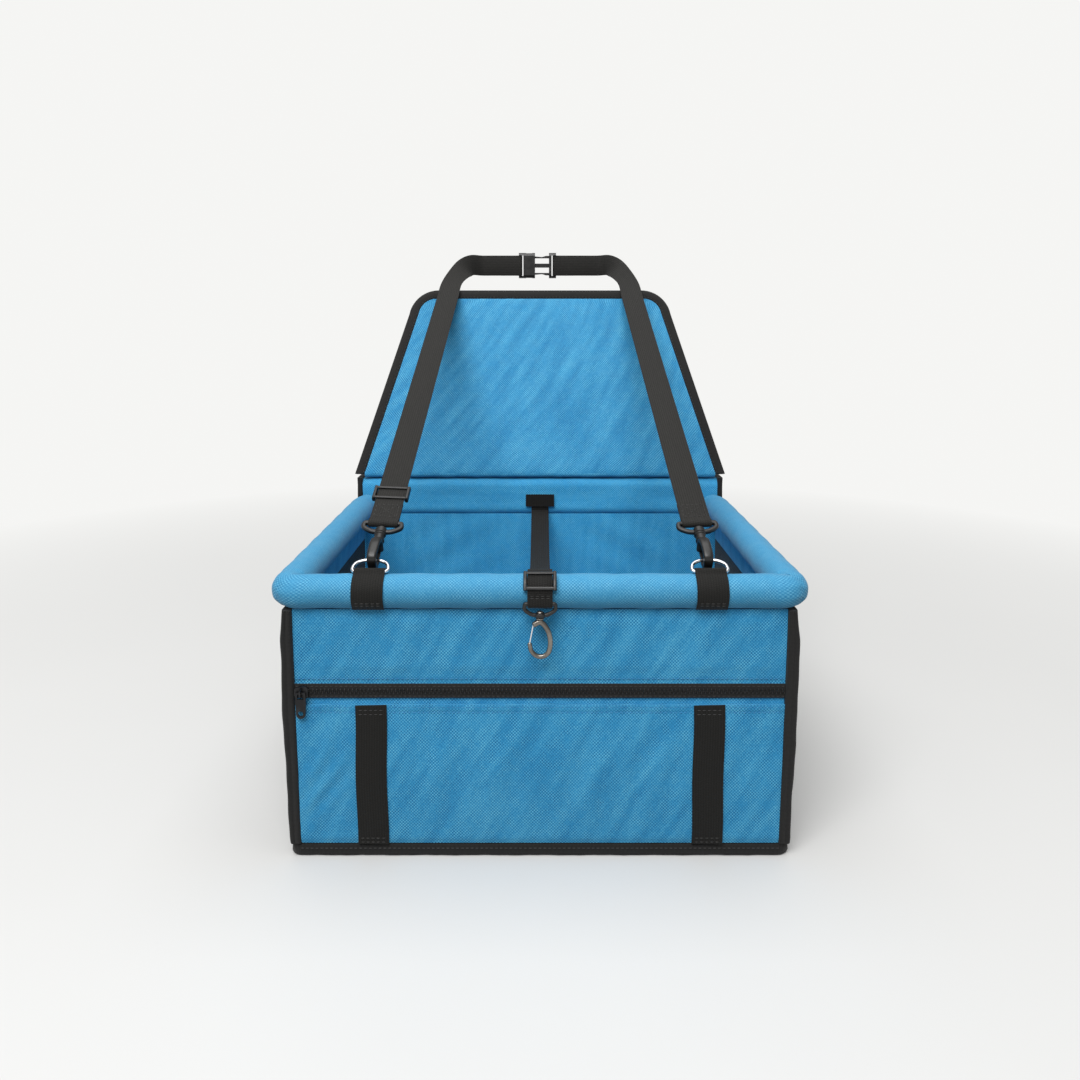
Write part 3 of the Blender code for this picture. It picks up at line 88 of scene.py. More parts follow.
def make_camera():
    """Camera placed to match the corners of the box in the photograph."""
    data = bpy.data.cameras.new("camera")
    data.lens = 29.33
    data.sensor_width = 36
    data.shift_y = -0.1227
    camera = link("camera", data)
    camera.location = (0, -0.8583, 0.4452)
    camera.rotation_euler = (radians(90 - 6.006), 0, 0)
    bpy.context.scene.camera = camera


# Material nodes
class Nodes:
    def __init__(self, name, blocks=bpy.data.materials, shader="Principled BSDF"):
        self.mat = blocks.new(name)
        self.mat.use_nodes = True
        self.tree = self.mat.node_tree
        self.shader = self.tree.nodes[shader]

    def node(self, kind, inputs=(), **settings):
        node = self.tree.nodes.new("ShaderNode" + kind)
        for key, value in settings.items():
            setattr(node, key, value)
        for key, value in dict(inputs).items():
            self.feed(node.inputs[key], value)
        return node.outputs

    def feed(self, socket, value):
        if isinstance(value, bpy.types.NodeSocket):
            self.tree.links.new(value, socket)
        else:
            socket.default_value = value

    def math(self, operation, *values):
        return self.node("Math", dict(enumerate(values)), operation=operation)[0]

    add = partialmethod(math, "ADD")
    minus = partialmethod(math, "SUBTRACT")
    times = partialmethod(math, "MULTIPLY")
    over = partialmethod(math, "DIVIDE")
    fused = partialmethod(math, "MULTIPLY_ADD")  # a * b + c

    def length(self, a, b):
        return self.math("SQRT", self.add(self.times(a, a), self.times(b, b)))

    def ramp(self, value, low, high, out_low=0.0, out_high=1.0):
        return self.node("MapRange", dict(enumerate((value, low, high, out_low, out_high))))[0]

    def mix(self, share, first, second):
        """Mix of two colours, each a socket or three sRGB bytes."""
        first, second = (rgb(*c) if isinstance(c, tuple) else c for c in (first, second))
        return self.node("Mix", {0: share, 6: first, 7: second}, data_type="RGBA")[2]

    def noise(self, scale, detail=2.0, vector=None):
        inputs = {"Scale": scale, "Detail": detail, "Vector": vector or self.node("TexCoord")["Object"]}
        return self.node("TexNoise", inputs)[0]

    def split(self, vector):
        return self.node("SeparateXYZ", {0: vector})[:2]

    def uv(self):
        return self.split(self.node("UVMap", uv_map="UVMap")[0])

    def sine(self, value, period):
        return self.math("SINE", self.times(value, tau / period))

    def bump(self, height, distance, strength, onto=None):
        inputs = {"Height": height, "Distance": distance, "Strength": strength}
        if onto:
            inputs["Normal"] = onto
        return self.node("Bump", inputs)[0]

    def done(self, colour, roughness, normal=None, **constants):
        given = {"Base_Color": colour, "Roughness": roughness, **constants}
        if normal:
            given["Normal"] = normal
        for key, value in given.items():
            self.feed(self.shader.inputs[key.replace("_", " ")], value)
        return self.mat


def rgb(red, green, blue):
    """sRGB bytes to a linear colour."""
    linear = [((c / 255 + 0.055) / 1.055) ** 2.4 if c > 10 else c / 255 / 12.92 for c in (red, green, blue)]
    return (*linear, 1.0)


def oxford(name, dark, mid, light, depth=0.00020, streaks=1.0, slope=58):
    """Coarse plain-weave polyester: staggered dots of yarn under soft slanting streaks."""
    n = Nodes(name)
    pitch, lean = 0.0026, radians(slope)
    u, v = n.uv()
    drift = n.times(n.noise(30.0), pitch * 0.6)
    dots = n.times(n.sine(n.add(u, drift), pitch), n.sine(n.minus(v, drift), pitch * 1.04))
    weave = n.fused(dots, 0.5, 0.5)
    patchy = n.ramp(n.noise(120.0, 3.0), 0.35, 0.65, 0.3, 1.0)
    tone = n.fused(n.minus(weave, 0.5), n.times(patchy, 0.85), 0.5)
    tone = n.fused(n.minus(n.noise(900.0), 0.5), 0.5, tone)
    across = n.fused(u, sin(lean), n.times(v, -cos(lean)))
    along = n.fused(u, cos(lean), n.times(v, sin(lean)))
    streak = n.noise(1.0, 3.0, n.node("CombineXYZ", {"X": n.times(across, 85.0), "Y": n.times(along, 15.0)})[0])
    tone = n.fused(n.minus(streak, 0.5), 0.5 * streaks, tone)
    colour = n.mix(n.ramp(tone, 0.50, 0.96), n.mix(n.ramp(tone, 0.08, 0.50), dark, mid), light)
    normal = n.bump(streak, 0.0016, 0.25 * streaks, n.bump(weave, depth, 0.8))
    rough = n.ramp(weave, 0.0, 1.0, 0.80, 0.62)
    return n.done(colour, rough, normal, Sheen_Weight=0.12, Sheen_Roughness=0.45, Specular_IOR_Level=0.3)


def webbing(name, dark, light):
    """Woven tape: ribs across its width that step from one column of yarn to the next."""
    n = Nodes(name)
    rib, columns = 0.00145, 0.0042
    u, v = n.uv()
    step = n.times(n.math("MODULO", n.math("FLOOR", n.over(u, columns / 2)), 2.0), pi)
    slant = n.times(n.math("PINGPONG", u, columns), 0.45)
    ribs = n.fused(n.math("SINE", n.fused(n.add(v, slant), tau / rib, step)), 0.5, 0.5)
    groove = n.math("ABSOLUTE", n.sine(u, columns))
    height = n.fused(groove, 0.45, n.times(ribs, 0.55))
    tone = n.fused(n.noise(900.0, 1.0), 0.35, n.times(height, 0.65))
    colour, rough = n.mix(n.ramp(tone, 0.15, 0.85), dark, light), n.ramp(tone, 0.1, 0.9, 0.88, 0.66)
    return n.done(colour, rough, n.bump(height, 0.00022, 0.8), Sheen_Weight=0.05, Specular_IOR_Level=0.22)


def grosgrain(name, dark, light, rib=0.0011):
    """Binding tape with fine ribs straight across."""
    n = Nodes(name)
    ribs = n.fused(n.sine(n.uv()[1], rib), 0.5, 0.5)
    tone = n.fused(n.noise(700.0), 0.5, n.times(ribs, 0.5))
    normal = n.bump(n.noise(60.0, 3.0), 0.0009, 0.3, n.bump(ribs, 0.00016, 0.7))
    return n.done(n.mix(n.ramp(tone, 0.2, 0.8), dark, light), 0.8, normal, Sheen_Weight=0.12, Specular_IOR_Level=0.3)


def air_mesh(name, hole, thread):
    """Spacer mesh with staggered round holes."""
    n = Nodes(name)
    pitch, row_pitch = 0.0034, 0.0034 * 0.866
    u, v = n.uv()
    row = n.math("FLOOR", n.over(v, row_pitch))
    shift = n.times(n.math("MODULO", n.math("ABSOLUTE", row), 2.0), pitch / 2)
    cells = (n.over(n.add(u, shift), pitch), n.over(v, row_pitch))
    yarn = n.ramp(n.length(*(n.minus(n.math("FRACT", cell), 0.5) for cell in cells)), 0.24, 0.36)
    colour = n.mix(yarn, hole, n.mix(n.noise(800.0, 1.0), thread, hole))
    return n.done(colour, 0.8, n.bump(yarn, 0.0006, 0.9), Sheen_Weight=0.1, Specular_IOR_Level=0.3)


def plain(name, colour, lighter, rough, depth=0.00005, metallic=0.0):
    """Moulded plastic or metal with fine grain and slight wear."""
    n = Nodes(name)
    cloud = n.noise(150.0, 3.0)
    tint = n.mix(n.ramp(cloud, 0.4, 0.75, 0.0, 0.6), colour, lighter)
    normal = n.bump(n.noise(1400.0), depth, 0.5)
    return n.done(tint, n.ramp(cloud, 0.3, 0.8, rough, rough + 0.14), normal, Metallic=metallic)


def fibre_board(name, dark, light):
    n = Nodes(name)
    flecks = n.noise(500.0, 4.0)
    return n.done(n.mix(n.ramp(flecks, 0.35, 0.7), dark, light), 0.85, n.bump(flecks, 0.0003, 0.5))


BLUE = oxford("blue_oxford", (10, 90, 140), (42, 137, 187), (108, 192, 222))
# A lighter copy of the blue cloth for the back wall and back band: painted light that lifts the shade inside the box
BLUE_PAINTED_LIGHTER = oxford("blue_oxford_painted_lighter", (20, 108, 160), (52, 154, 207), (108, 198, 230), streaks=0.6, slope=88)
BLUE_FINE = oxford("blue_oxford_fine", (32, 106, 152), (56, 138, 180), (110, 180, 208), 0.00012, 0.3)
WEBBING = webbing("grey_webbing", (9, 9, 8), (28, 27, 25))
# A paler copy of the webbing for the harness straps: painted light, for the light the upper straps catch
WEBBING_PAINTED_LIGHTER = webbing("pale_webbing", (17, 17, 16), (44, 43, 41))
BINDING = grosgrain("black_binding", (12, 12, 12), (32, 31, 30))
LINING = grosgrain("black_cloth", (20, 20, 21), (40, 40, 41), 0.0009)
MESH = air_mesh("air_mesh", (10, 10, 10), (58, 53, 48))
PLASTIC = plain("black_plastic", (18, 18, 18), (38, 37, 36), 0.34)
ZIP_METAL = plain("zip_metal", (26, 26, 28), (58, 58, 60), 0.34, metallic=0.5)
CHROME = plain("chrome", (212, 214, 218), (236, 238, 240), 0.10, 0.00001, 1.0)
NICKEL = plain("dark_nickel", (118, 112, 105), (164, 158, 150), 0.28, 0.00003, 0.95)
THREAD_BLUE = plain("thread_blue", (40, 124, 178), (92, 170, 210), 0.6)
THREAD_DARK = plain("thread_dark", (46, 46, 46), (78, 77, 75), 0.6)
PIPE = plain("pipe_plastic", (212, 212, 208), (226, 226, 224), 0.45)
BOARD = fibre_board("fibre_board", (118, 94, 66), (160, 134, 100))

# Materials of each slot; the first one also dresses the CAD's own solids
SLOTS = {
    "cloth": (BLUE, BLUE_PAINTED_LIGHTER, BLUE_FINE, THREAD_BLUE), "cloth_dark": (BLUE,), "black_cloth": (LINING,),
    "webbing": (BINDING, WEBBING, WEBBING_PAINTED_LIGHTER, THREAD_DARK), "mesh": (MESH,), "plastic": (PLASTIC,),
    "zip_metal": (ZIP_METAL,), "chrome": (CHROME,), "bronze": (NICKEL,), "pipe": (PIPE,), "board": (BOARD,),
}
OWN_FINISH = (LINING, CHROME)


# Shapes
steps = np.linspace


def vec(x, y, z):
    """Points from three coordinates, each a number or an array."""
    return np.stack(np.broadcast_arrays(x, y, z), axis=-1).astype(float)


def unit(v):
    return v / np.maximum(np.linalg.norm(v, axis=-1, keepdims=True), 1e-12)


def bell(value, middle, width):
    return np.exp(-(((value - middle) / width) ** 2))


def ease(value, low=0.0, high=1.0):
    """Runs straight from zero at low to one at high."""
    return np.clip((value - low) / (high - low), 0, 1)


def soft(u, v, power=0.5):
    """Zero on the edges of the unit square and one in the middle."""
    return ease(np.sin(pi * u) * np.sin(pi * v)) ** power


def half_wave(value, period, shift=0.0):
    """A wave between zero and one."""
    return 0.5 + 0.5 * np.sin(tau * value / period + shift)


def waves(x, z, seed, scale=1.0):
    """Gentle upright waves of pulled cloth, between -1 and 1."""
    rng = np.random.default_rng(seed)
    total = 0
    for pitch, size in ((0.110, 1.0), (0.061, 0.8), (0.034, 0.5), (0.019, 0.25)):
        lean, shift, drift = rng.uniform(-0.5, 0.5), rng.uniform(0, tau), rng.uniform(0, tau)
        phase = tau * (x + lean * z) / (pitch * scale) + shift
        total = total + size * np.sin(phase + 0.8 * np.sin(tau * z / (0.19 * scale) + drift))
    return total / 2.55


def smooth_route(points, parts, closed=False):
    """Points of a Catmull-Rom curve through the given points."""
    p = np.asarray(points, dtype=float)
    ends = [p[-1], *p, p[0], p[1]] if closed else [p[0] * 2 - p[1], *p, p[-1] * 2 - p[-2]]
    route = []
    for a, b, c, d in zip(ends, ends[1:], ends[2:], ends[3:]):
        square, cube = a * 2 - b * 5 + c * 4 - d, b * 3 - a - c * 3 + d
        for t in np.arange(parts) / parts:
            route.append((b * 2 + (c - a) * t + square * t**2 + cube * t**3) / 2)
    return np.array(route if closed else [*route, p[-1]])


def tangents(points, closed=False):
    if closed:
        return unit(np.roll(points, -1, axis=0) - np.roll(points, 1, axis=0))
    padded = np.concatenate((points[:1], points, points[-1:]))
    return unit(padded[2:] - padded[:-2])


def ring_of(centre, u, v, ru, rv, count, power=2.0, turn=0.5):
    """A closed section: an oval at power 2, and nearer to a rectangle above it."""
    angle = (np.arange(count) + turn) * tau / count
    a, b = (np.sign(way) * np.abs(way) ** (2 / power) for way in (np.cos(angle), np.sin(angle)))
    return centre + np.outer(a * ru, u) + np.outer(b * rv, v)


class Line:
    """A local frame: across, along and lift directions from one origin."""

    def __init__(self, origin, along, across):
        self.origin = np.asarray(origin, dtype=float)
        self.along = unit(np.asarray(along, dtype=float))
        self.across = unit(across - self.along * (across @ self.along))
        self.lift = np.cross(self.across, self.along)

    def at(self, across, along, lift):
        return self.origin + self.across * across + self.along * along + self.lift * lift


def unwrap(rows):
    """Metres across and along for each point of a table of rows."""
    across, along = np.zeros((2, *rows.shape[:2]))
    across[:, 1:] = np.cumsum(np.linalg.norm(np.diff(rows, axis=1), axis=2), axis=1)
    along[1:] = np.cumsum(np.linalg.norm(np.diff(rows, axis=0), axis=2), axis=0)
    across[:] = across.mean(axis=0)
    along[:] = along.mean(axis=1)[:, None]
    return np.stack((across, along), axis=2)


WEB_HALF = ((1, 0), (0.985, 0.75), (0.955, 1), (0, 1), (-0.955, 1), (-0.985, 0.75))
WEB_SECTION = (*WEB_HALF, *((-a, -n) for a, n in WEB_HALF))
THREAD_R, THREAD_RISE, THREAD_LONG, THREAD_GAP = 0.00028, 0.00012, 0.0026, 0.0014


class Piece:
    """Gathers patches and tubes of points, each with its own UVs, into one object."""

    def __init__(self):
        self.points, self.uvs, self.faces, self.mats = [], [], [], []

    def patch(self, rows, mat=0, flip=False):
        start = sum(map(len, self.points))
        high, wide = rows.shape[:2]
        index = np.arange(high * wide).reshape(high, wide) + start
        corners = (index[:-1, :-1], index[:-1, 1:], index[1:, 1:], index[1:, :-1])
        quads = np.stack(corners[:: -1 if flip else 1], axis=2).reshape(-1, 4)
        self.points.append(rows.reshape(-1, 3))
        self.uvs.append(unwrap(rows).reshape(-1, 2))
        self.faces.append(quads)
        self.mats.append(np.full(len(quads), mat))

    def slab(self, face, back, across, along):
        """A soft slab between two functions of the unit square."""
        square = np.meshgrid(steps(0, 1, across + 1), steps(0, 1, along + 1))
        front, rear = face(*square), back(*square)
        self.patch(front)
        self.patch(rear, flip=True)
        for edge in (np.s_[0], np.s_[-1], np.s_[:, 0], np.s_[:, -1]):
            self.patch(np.stack((front[edge], rear[edge])))
        return self

    def tube(self, rings, mat=0, closed=False, caps=True):
        """Rings of equal count; the last point of each ring joins its first."""
        rings = np.asarray(rings, dtype=float)
        rings = np.concatenate((rings, rings[:, :1]), axis=1)
        if closed:
            rings = np.concatenate((rings, rings[:1]), axis=0)
        self.patch(rings, mat)
        if caps and not closed:
            for ring in (rings[0], rings[-1][::-1]):
                self.patch(np.stack((np.broadcast_to(ring[:-1].mean(axis=0), ring.shape), ring)), mat)
        return self

    def ribbon(self, points, widths=X, width=WEB, thick=WEB_T):
        """Webbing along a route with rounded selvedges."""
        points = np.asarray(points, dtype=float)
        along = tangents(points)
        across = unit(widths - along * (widths * along).sum(axis=1, keepdims=True))
        lift = np.cross(along, across)
        rings = [points + across * (a * width / 2) + lift * (n * thick / 2) for a, n in WEB_SECTION]
        return self.tube(np.stack(rings, axis=1))

    def bar(self, points, side, ru, rv, count=20, power=2.0, ends=0.0, closed=False):
        """A bar along a flat route, with rounded ends where asked; side is the route plane's normal."""
        points = np.asarray(points, dtype=float)
        ru, rv = (np.broadcast_to(radius, len(points)) for radius in (ru, rv))
        ways = tangents(points, closed)

        def section(k, shift=0.0, inset=0.0):
            up, slim = np.cross(ways[k], side), min(inset, rv[k] * 0.9)
            return ring_of(points[k] + ways[k] * shift, side, up, ru[k] - inset, rv[k] - slim, count, power)

        rings = [section(k) for k in range(len(points))]
        if ends:
            shares = [(share, ends * (1 - sqrt(1 - share**2))) for share in (1.0, 0.92, 0.70, 0.38)]
            first = [section(0, -ends * share, inset) for share, inset in shares]
            rings = first + rings + [section(-1, ends * share, inset) for share, inset in shares[::-1]]
        return self.tube(rings, closed=closed)

    def turned(self, line, profile, closed=False):
        """A solid of revolution about a line's own axis, from (along, radius) pairs."""
        rings = [ring_of(line.at(0, s, 0), line.across, line.lift, r, r, 32, turn=0) for s, r in profile]
        return self.tube(rings, closed=closed)

    def stitches(self, points, up, mat=1):
        """Short raised threads along a route lying on cloth."""
        points = np.asarray(points, dtype=float)
        reach = np.concatenate(([0], np.cumsum(np.linalg.norm(np.diff(points, axis=0), axis=1))))
        count = max(1, int((reach[-1] + THREAD_GAP) / (THREAD_LONG + THREAD_GAP)))
        pitch = reach[-1] / count

        def at(distance):
            return np.array([np.interp(distance, reach, column) for column in points.T])

        for k in range(count):
            rings = []
            for share, size in ((0, 0.25), (0.18, 0.85), (0.5, 1.0), (0.82, 0.85), (1, 0.25)):
                spot = k * pitch + THREAD_GAP / 2 + (pitch - THREAD_GAP) * share
                along = unit(at(spot + 0.0004) - at(spot - 0.0004))
                across, radius = unit(np.cross(up, along)), THREAD_R * size
                lifted = at(spot) + np.multiply(up, THREAD_RISE + THREAD_R * (size - 0.6))
                rings.append(ring_of(lifted, across, up, radius, radius, 5, turn=0))
            self.tube(rings, mat)
        return self

    def row(self, middle, half, up, mat=1):
        """A straight row of stitches, to both sides of its middle."""
        return self.stitches((middle - X * half, middle + X * half), up, mat)

    def box_stitch(self, line, low, high, level, half):
        """A sewn box with its diagonals on webbing lying along a line."""
        corners = [line.at(a, s, level) for s in (low, high) for a in (-half, half)]
        for a, b in ((0, 1), (2, 3), (0, 2), (1, 3), (1, 2), (0, 3)):
            self.stitches((corners[a], corners[b]), line.lift * np.sign(level))

    def build(self, name, *mats, smooth=38):
        mesh = bpy.data.meshes.new(name)
        faces = np.concatenate(self.faces)
        mesh.from_pydata(np.concatenate(self.points).tolist(), [], faces.tolist())
        uvs = np.concatenate(self.uvs)[faces.reshape(-1)]
        mesh.uv_layers.new(name="UVMap").data.foreach_set("uv", uvs.reshape(-1))
        for mat in mats:
            mesh.materials.append(mat)
        mesh.polygons.foreach_set("material_index", np.concatenate(self.mats).tolist())
        bm = bmesh.new()
        bm.from_mesh(mesh)
        bmesh.ops.remove_doubles(bm, verts=bm.verts, dist=0.00001)
        bmesh.ops.dissolve_degenerate(bm, edges=bm.edges, dist=0.000001)
        bmesh.ops.recalc_face_normals(bm, faces=bm.faces)
        bm.to_mesh(mesh)
        bm.free()
        mesh.shade_smooth()
        mesh.set_sharp_from_angle(angle=radians(smooth))
        return link(name, mesh)

    def place(self, name, node, *mats, body="seat", smooth=38):
        """Builds a piece that rides on a body and stands for a CAD node."""
        obj = self.build(name, *mats, smooth=smooth)
        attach(obj, body)
        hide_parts(node)
        if mats[0] not in OWN_FINISH:
            next(slot for slot, known in SLOTS.items() if mats[0] in known)
        return obj


def round_box(half, radius, turns, gap):
    """A rectangle's outline with round corners, and its outward directions."""
    half = np.array(half) - radius
    points, normals = [], []
    for quarter, signs in enumerate(((1, 1), (-1, 1), (-1, -1), (1, -1))):
        for k in range(turns + 1):
            angle = pi / 2 * (quarter + k / turns)
            normals.append(np.array((cos(angle), sin(angle))))
            points.append(signs * half + normals[-1] * radius)
    full, ways = [], []
    for a, b, out, after in zip(points, points[1:] + points[:1], normals, normals[1:] + normals[:1]):
        parts = max(1, int(np.linalg.norm(b - a) / gap))
        for t in np.arange(parts) / parts:
            full.append(a + (b - a) * t)
            ways.append(unit(out * (1 - t) + after * t))
    return np.array(full), np.array(ways)


def level(half, y, deep, z):
    """A flat face: half its width, its front edge, its depth and its height."""
    return lambda u, v: vec((2 * u - 1) * half, y + deep * v, z)


# Base, floor and walls
def build_base():
    outline, outward = round_box((0.2074, 0.17475), 0.011, 10, 0.006)
    points, ways = vec(outline[:, 0], outline[:, 1] + 0.00125, 0), vec(*outward.T, 0)
    section = ((0, 0.0020), (-0.0004, 0.0065), (-0.0010, 0.0092), (-0.0028, 0.0105), (-0.0045, 0.0105),
               (-0.0065, 0.0098), (-0.0065, 0.0060), (-0.0065, 0.0008), (-0.0045, 0), (-0.0022, 0), (-0.0007, 0.0006))
    reach = np.cumsum(np.linalg.norm(np.roll(points, -1, axis=0) - points, axis=1))
    ripple = 0.00022 * np.sin(tau * reach / 0.047) + 0.00016 * np.sin(tau * reach / 0.0173)
    rings = []
    for offset, z in section:
        ring = points + ways * (offset - 0.0003 + ripple[:, None]) + Z * z
        if offset < -0.004:
            # The inner fold keeps clear of the side cloths
            x = ring[:, 0]
            ring[:, 0] = np.sign(x) * np.maximum(np.abs(x), 0.2030 * (np.abs(ways[:, 0]) > 0.9))
        rings.append(ring)
    hem = Piece().tube(np.stack(rings, axis=1), closed=True)
    front = points[(points[:, 1] < -0.1730) & (np.abs(points[:, 0]) < 0.199)]
    hem.stitches(front[np.argsort(front[:, 0])] + (0, -0.0002, 0.0074), -Y)
    hem.slab(level(0.2062, 0.1603, 0.0130, 0.0118), level(0.2062, 0.1603, 0.0130, 0.0107), 40, 4)
    hem.place("base_hem_tape", "base_binding", BINDING, THREAD_DARK)

    def under(u, v, lift=0.0001):
        x, y = (2 * u - 1) * 0.2026, -0.1667 + 0.3359 * v
        quilted = 0.0004 * soft(u, v) * (1 + np.sin(tau * x / 0.05) * np.sin(tau * y / 0.05))
        return vec(x, y, lift + quilted)

    base = Piece().slab(lambda u, v: under(u, v, 0.0019), under, 60, 50)
    cloth = base.place("base_cloth", "base_panel", LINING)

    def top(u, v):
        x, y = (2 * u - 1) * 0.1997, -0.1615 + 0.3120 * v
        edge = np.minimum(1, np.sin(pi * u) * 6) * np.minimum(1, np.sin(pi * v) * 6)
        channel = 0.0030 * np.abs(np.cos(pi * 4 * u)) ** 14 * np.minimum(1, np.sin(pi * v) * 4)
        cells = 0.0010 * np.abs(np.sin(pi * 4 * u)) ** 0.6
        crease = 0.0005 * waves(x, y, 5, 0.6) * soft(u, v)
        z = 0.0056 + 0.0036 * soft(u, v, 0.35) + (cells - channel + 0.0008) * edge + crease
        return vec(x, y, FOOT_Z + np.maximum(z, 0.002))

    floor = Piece().slab(top, level(0.1990, -0.1608, 0.3106, FOOT_Z), 128, 80)
    for share in (0.25, 0.5, 0.75):
        for way in (-1, 1):
            floor.stitches(top(share + way * 0.0065, steps(0.04, 0.96, 60)), Z)
    cushion = floor.place("floor_cushion", "floor_pad", BLUE, THREAD_BLUE)


def under_rim(offset):
    return RIM_Z - sqrt((RIM_R + FIT) ** 2 - offset**2)


def half_at(z):
    """Half width of the front cloth, which narrows towards the foot."""
    return np.interp(z, (0.0108, 0.06, 0.10, 0.142, 0.185), (0.1973, 0.1979, 0.1984, 0.1994, 0.2000))


def on_front(u, v, top):
    z = FOOT_Z + (top - FOOT_Z) * v
    return (2 * u - 1) * half_at(z), z


def build_front():
    top_out, top_in = under_rim(-0.0042), under_rim(0.0018)

    def outer(u, v):
        x, z = on_front(u, v, top_out)
        upper = ease(z, 0.149, 0.161) * ease(z, top_out, top_out - 0.010)
        ends = ease(np.abs(x), FRONT_HALF, FRONT_HALF - 0.02)
        wave = 0.0008 * waves(x, z, 11, 0.8) + 0.0010 * upper
        seam = 0.0007 * bell(z, 0.1488, 0.0012) + 0.0006 * bell(z, 0.1335, 0.002)
        return vec(x, FRONT_Y - wave * upper * ends + seam, z)

    def inner(u, v):
        x, z = on_front(u, v, top_in)
        return vec(x, -0.1640 - 0.0006 * soft(u, v) * (1 + waves(x, z, 12)), z)

    body = Piece().slab(outer, inner, 160, 96).row((0, FRONT_Y - 0.0002, 0.1512), 0.198, -Y)
    cloth = body.place("front_cloth", "front_panel", BLUE, THREAD_BLUE)

    tall = POCKET_TOP - FOOT_Z

    def bulge(x, v):
        across, up = np.cos(pi / 2 * x / FRONT_HALF), np.sin(pi * v)
        return -(0.1725 + 0.0022 * ease(across) ** 0.5 * ease(up))

    def face(u, v):
        x, z = on_front(u, v, POCKET_TOP)
        up = ease(np.sin(pi * v))
        # The cloth is calm beside the webbing strips, which lie flat on it
        calm = 1 - bell(np.abs(x), STRIP_X, 0.017)
        wave = 0.0010 * waves(x, z, 23, 0.75) * up**0.5 * calm
        # Creases that run down from the zip's closed end
        slant = (x + 0.200) * 0.85 - (z - POCKET_TOP) * 0.52 + 0.004 * np.sin(z * 60)
        pull = bell(x + 0.25 * (POCKET_TOP - z - 0.05), -0.174, 0.020) * up
        wave = wave + 0.0005 * pull * np.sin(tau * slant / 0.0165)
        hem = 0.0005 * ease(z, 0.1245, 0.1253) * calm
        edges = 0.0008 * bell(z, FOOT_Z, 0.003) + 0.0008 * bell(np.abs(x), FRONT_HALF, 0.003)
        return vec(x, bulge(x, v) - wave - hem + edges, z)

    def back(u, v):
        x, z = on_front(u, v, POCKET_TOP)
        return vec(x, -0.1703, z)

    pocket = Piece().slab(face, back, 220, 110)
    for z in (0.1238, 0.1284):
        pocket.stitches(face(steps(0.006, 0.994, 400), (z - FOOT_Z) / tall), -Y)
    cloth = pocket.place("pocket_cloth", "pocket_panel", BLUE, THREAD_BLUE)

    heights = steps(FOOT_Z, POCKET_TOP, 40)
    y = bulge(STRIP_X - WEB / 2, (heights - FOOT_Z) / tall) - FIT - WEB_T / 2
    for label, side in SIDES:
        strip = Piece().ribbon(vec(side * STRIP_X + 0.0004 * np.sin(tau * heights / 0.09), y, heights))
        for z in (0.0165, 0.0130, 0.1262, 0.1227):
            strip.row((side * STRIP_X, np.interp(z, heights, y) - WEB_T / 2, z), 0.0105, -Y)
        strip.place(f"pocket_strip_{label}", f"pocket_webbing_{label}", WEBBING, THREAD_DARK)


def build_corners():
    heights = (0.0108, 0.0145, 0.057, 0.0997, 0.142, 0.185, 0.2088)
    outers = (0.2068, 0.2073, 0.2085, 0.2098, 0.2107, 0.2102, 0.2079)
    # Sections across each tape: share of its width, and depth or place from front to back
    front = ((0.0, 0.0155), (0.0, 0.0012), (0.06, 0.0002), (0.22, 0.0), (0.40, 0.0003), (0.50, 0.0008), (0.58, 0.0003),
             (0.74, 0.0), (0.88, 0.0008), (0.96, 0.0026), (1.0, 0.0052), (1.0, 0.0110), (0.97, 0.0150), (0.85, 0.0155))
    rear = ((0, 0.1513), (0.2, 0.1503), (0.8, 0.1503), (1, 0.1513), (1, 0.1636), (1, 0.1745), (0.7, 0.1760),
            (0.3, 0.1760), (0, 0.1745), (0, 0.1630))
    for label, side in SIDES:
        rings = []
        for z in steps(FOOT_Z, 0.2088, 90):
            inner = half_at(z) + 0.0004
            wave = 0.00035 * sin(tau * z / 0.083 + side) + 0.00015 * sin(tau * z / 0.029)
            wide, sway = np.interp(z, heights, outers) - inner + wave, 0.0003 * sin(tau * z / 0.057)
            rings.append([(side * (inner + wide * a), -0.1738 + b - sway * (b > 0.001), z) for a, b in front])
        Piece().tube(rings).place(f"corner_tape_{label}", f"corner_binding_{label}", BINDING, smooth=60)

        rings = []
        for z in steps(FOOT_Z, 0.2567, 60):
            wide = 0.0027 + 0.0030 * min(1, (z - FOOT_Z) / 0.1867) - 0.0002 * sin(tau * z / 0.043) ** 2
            rings.append([(side * (0.2068 + wide * a), b, z) for a, b in rear])
        Piece().tube(rings).place(f"back_corner_tape_{label}", f"back_corner_binding_{label}", BINDING)


def build_sides():
    strip_top = under_rim(0.2039 - RIM_X)
    for label, side in SIDES:
        for name, node, mats, low, high, inner_x, outer_x, rows, seed in (
            ("side_mesh_cloth", "side_mesh", [MESH], FOOT_Z, 0.1857, 0.2050, 0.2065, 60, 31),
            ("side_blue_cloth", "side_strip", [BLUE, THREAD_BLUE], 0.1860, strip_top, 0.2043, 0.2068, 14, 32),
        ):
            def skin(u, v, x=outer_x, out=0.4):
                y, z = SIDE_FRONT + (SIDE_REAR - SIDE_FRONT) * u, low + (high - low) * v
                return vec(side * (x + 0.0006 * soft(u, v) * (waves(y, z, seed) + out)), y, z)

            body = Piece().slab(skin, lambda u, v: skin(u, v, inner_x, 0.0), 90, rows)
            if len(mats) > 1:
                body.stitches(skin(steps(0.01, 0.99, 90), 0.0022 / (high - low)), X * side)
            cloth = body.place(f"{name}_{label}", f"{node}_{label}", *mats)


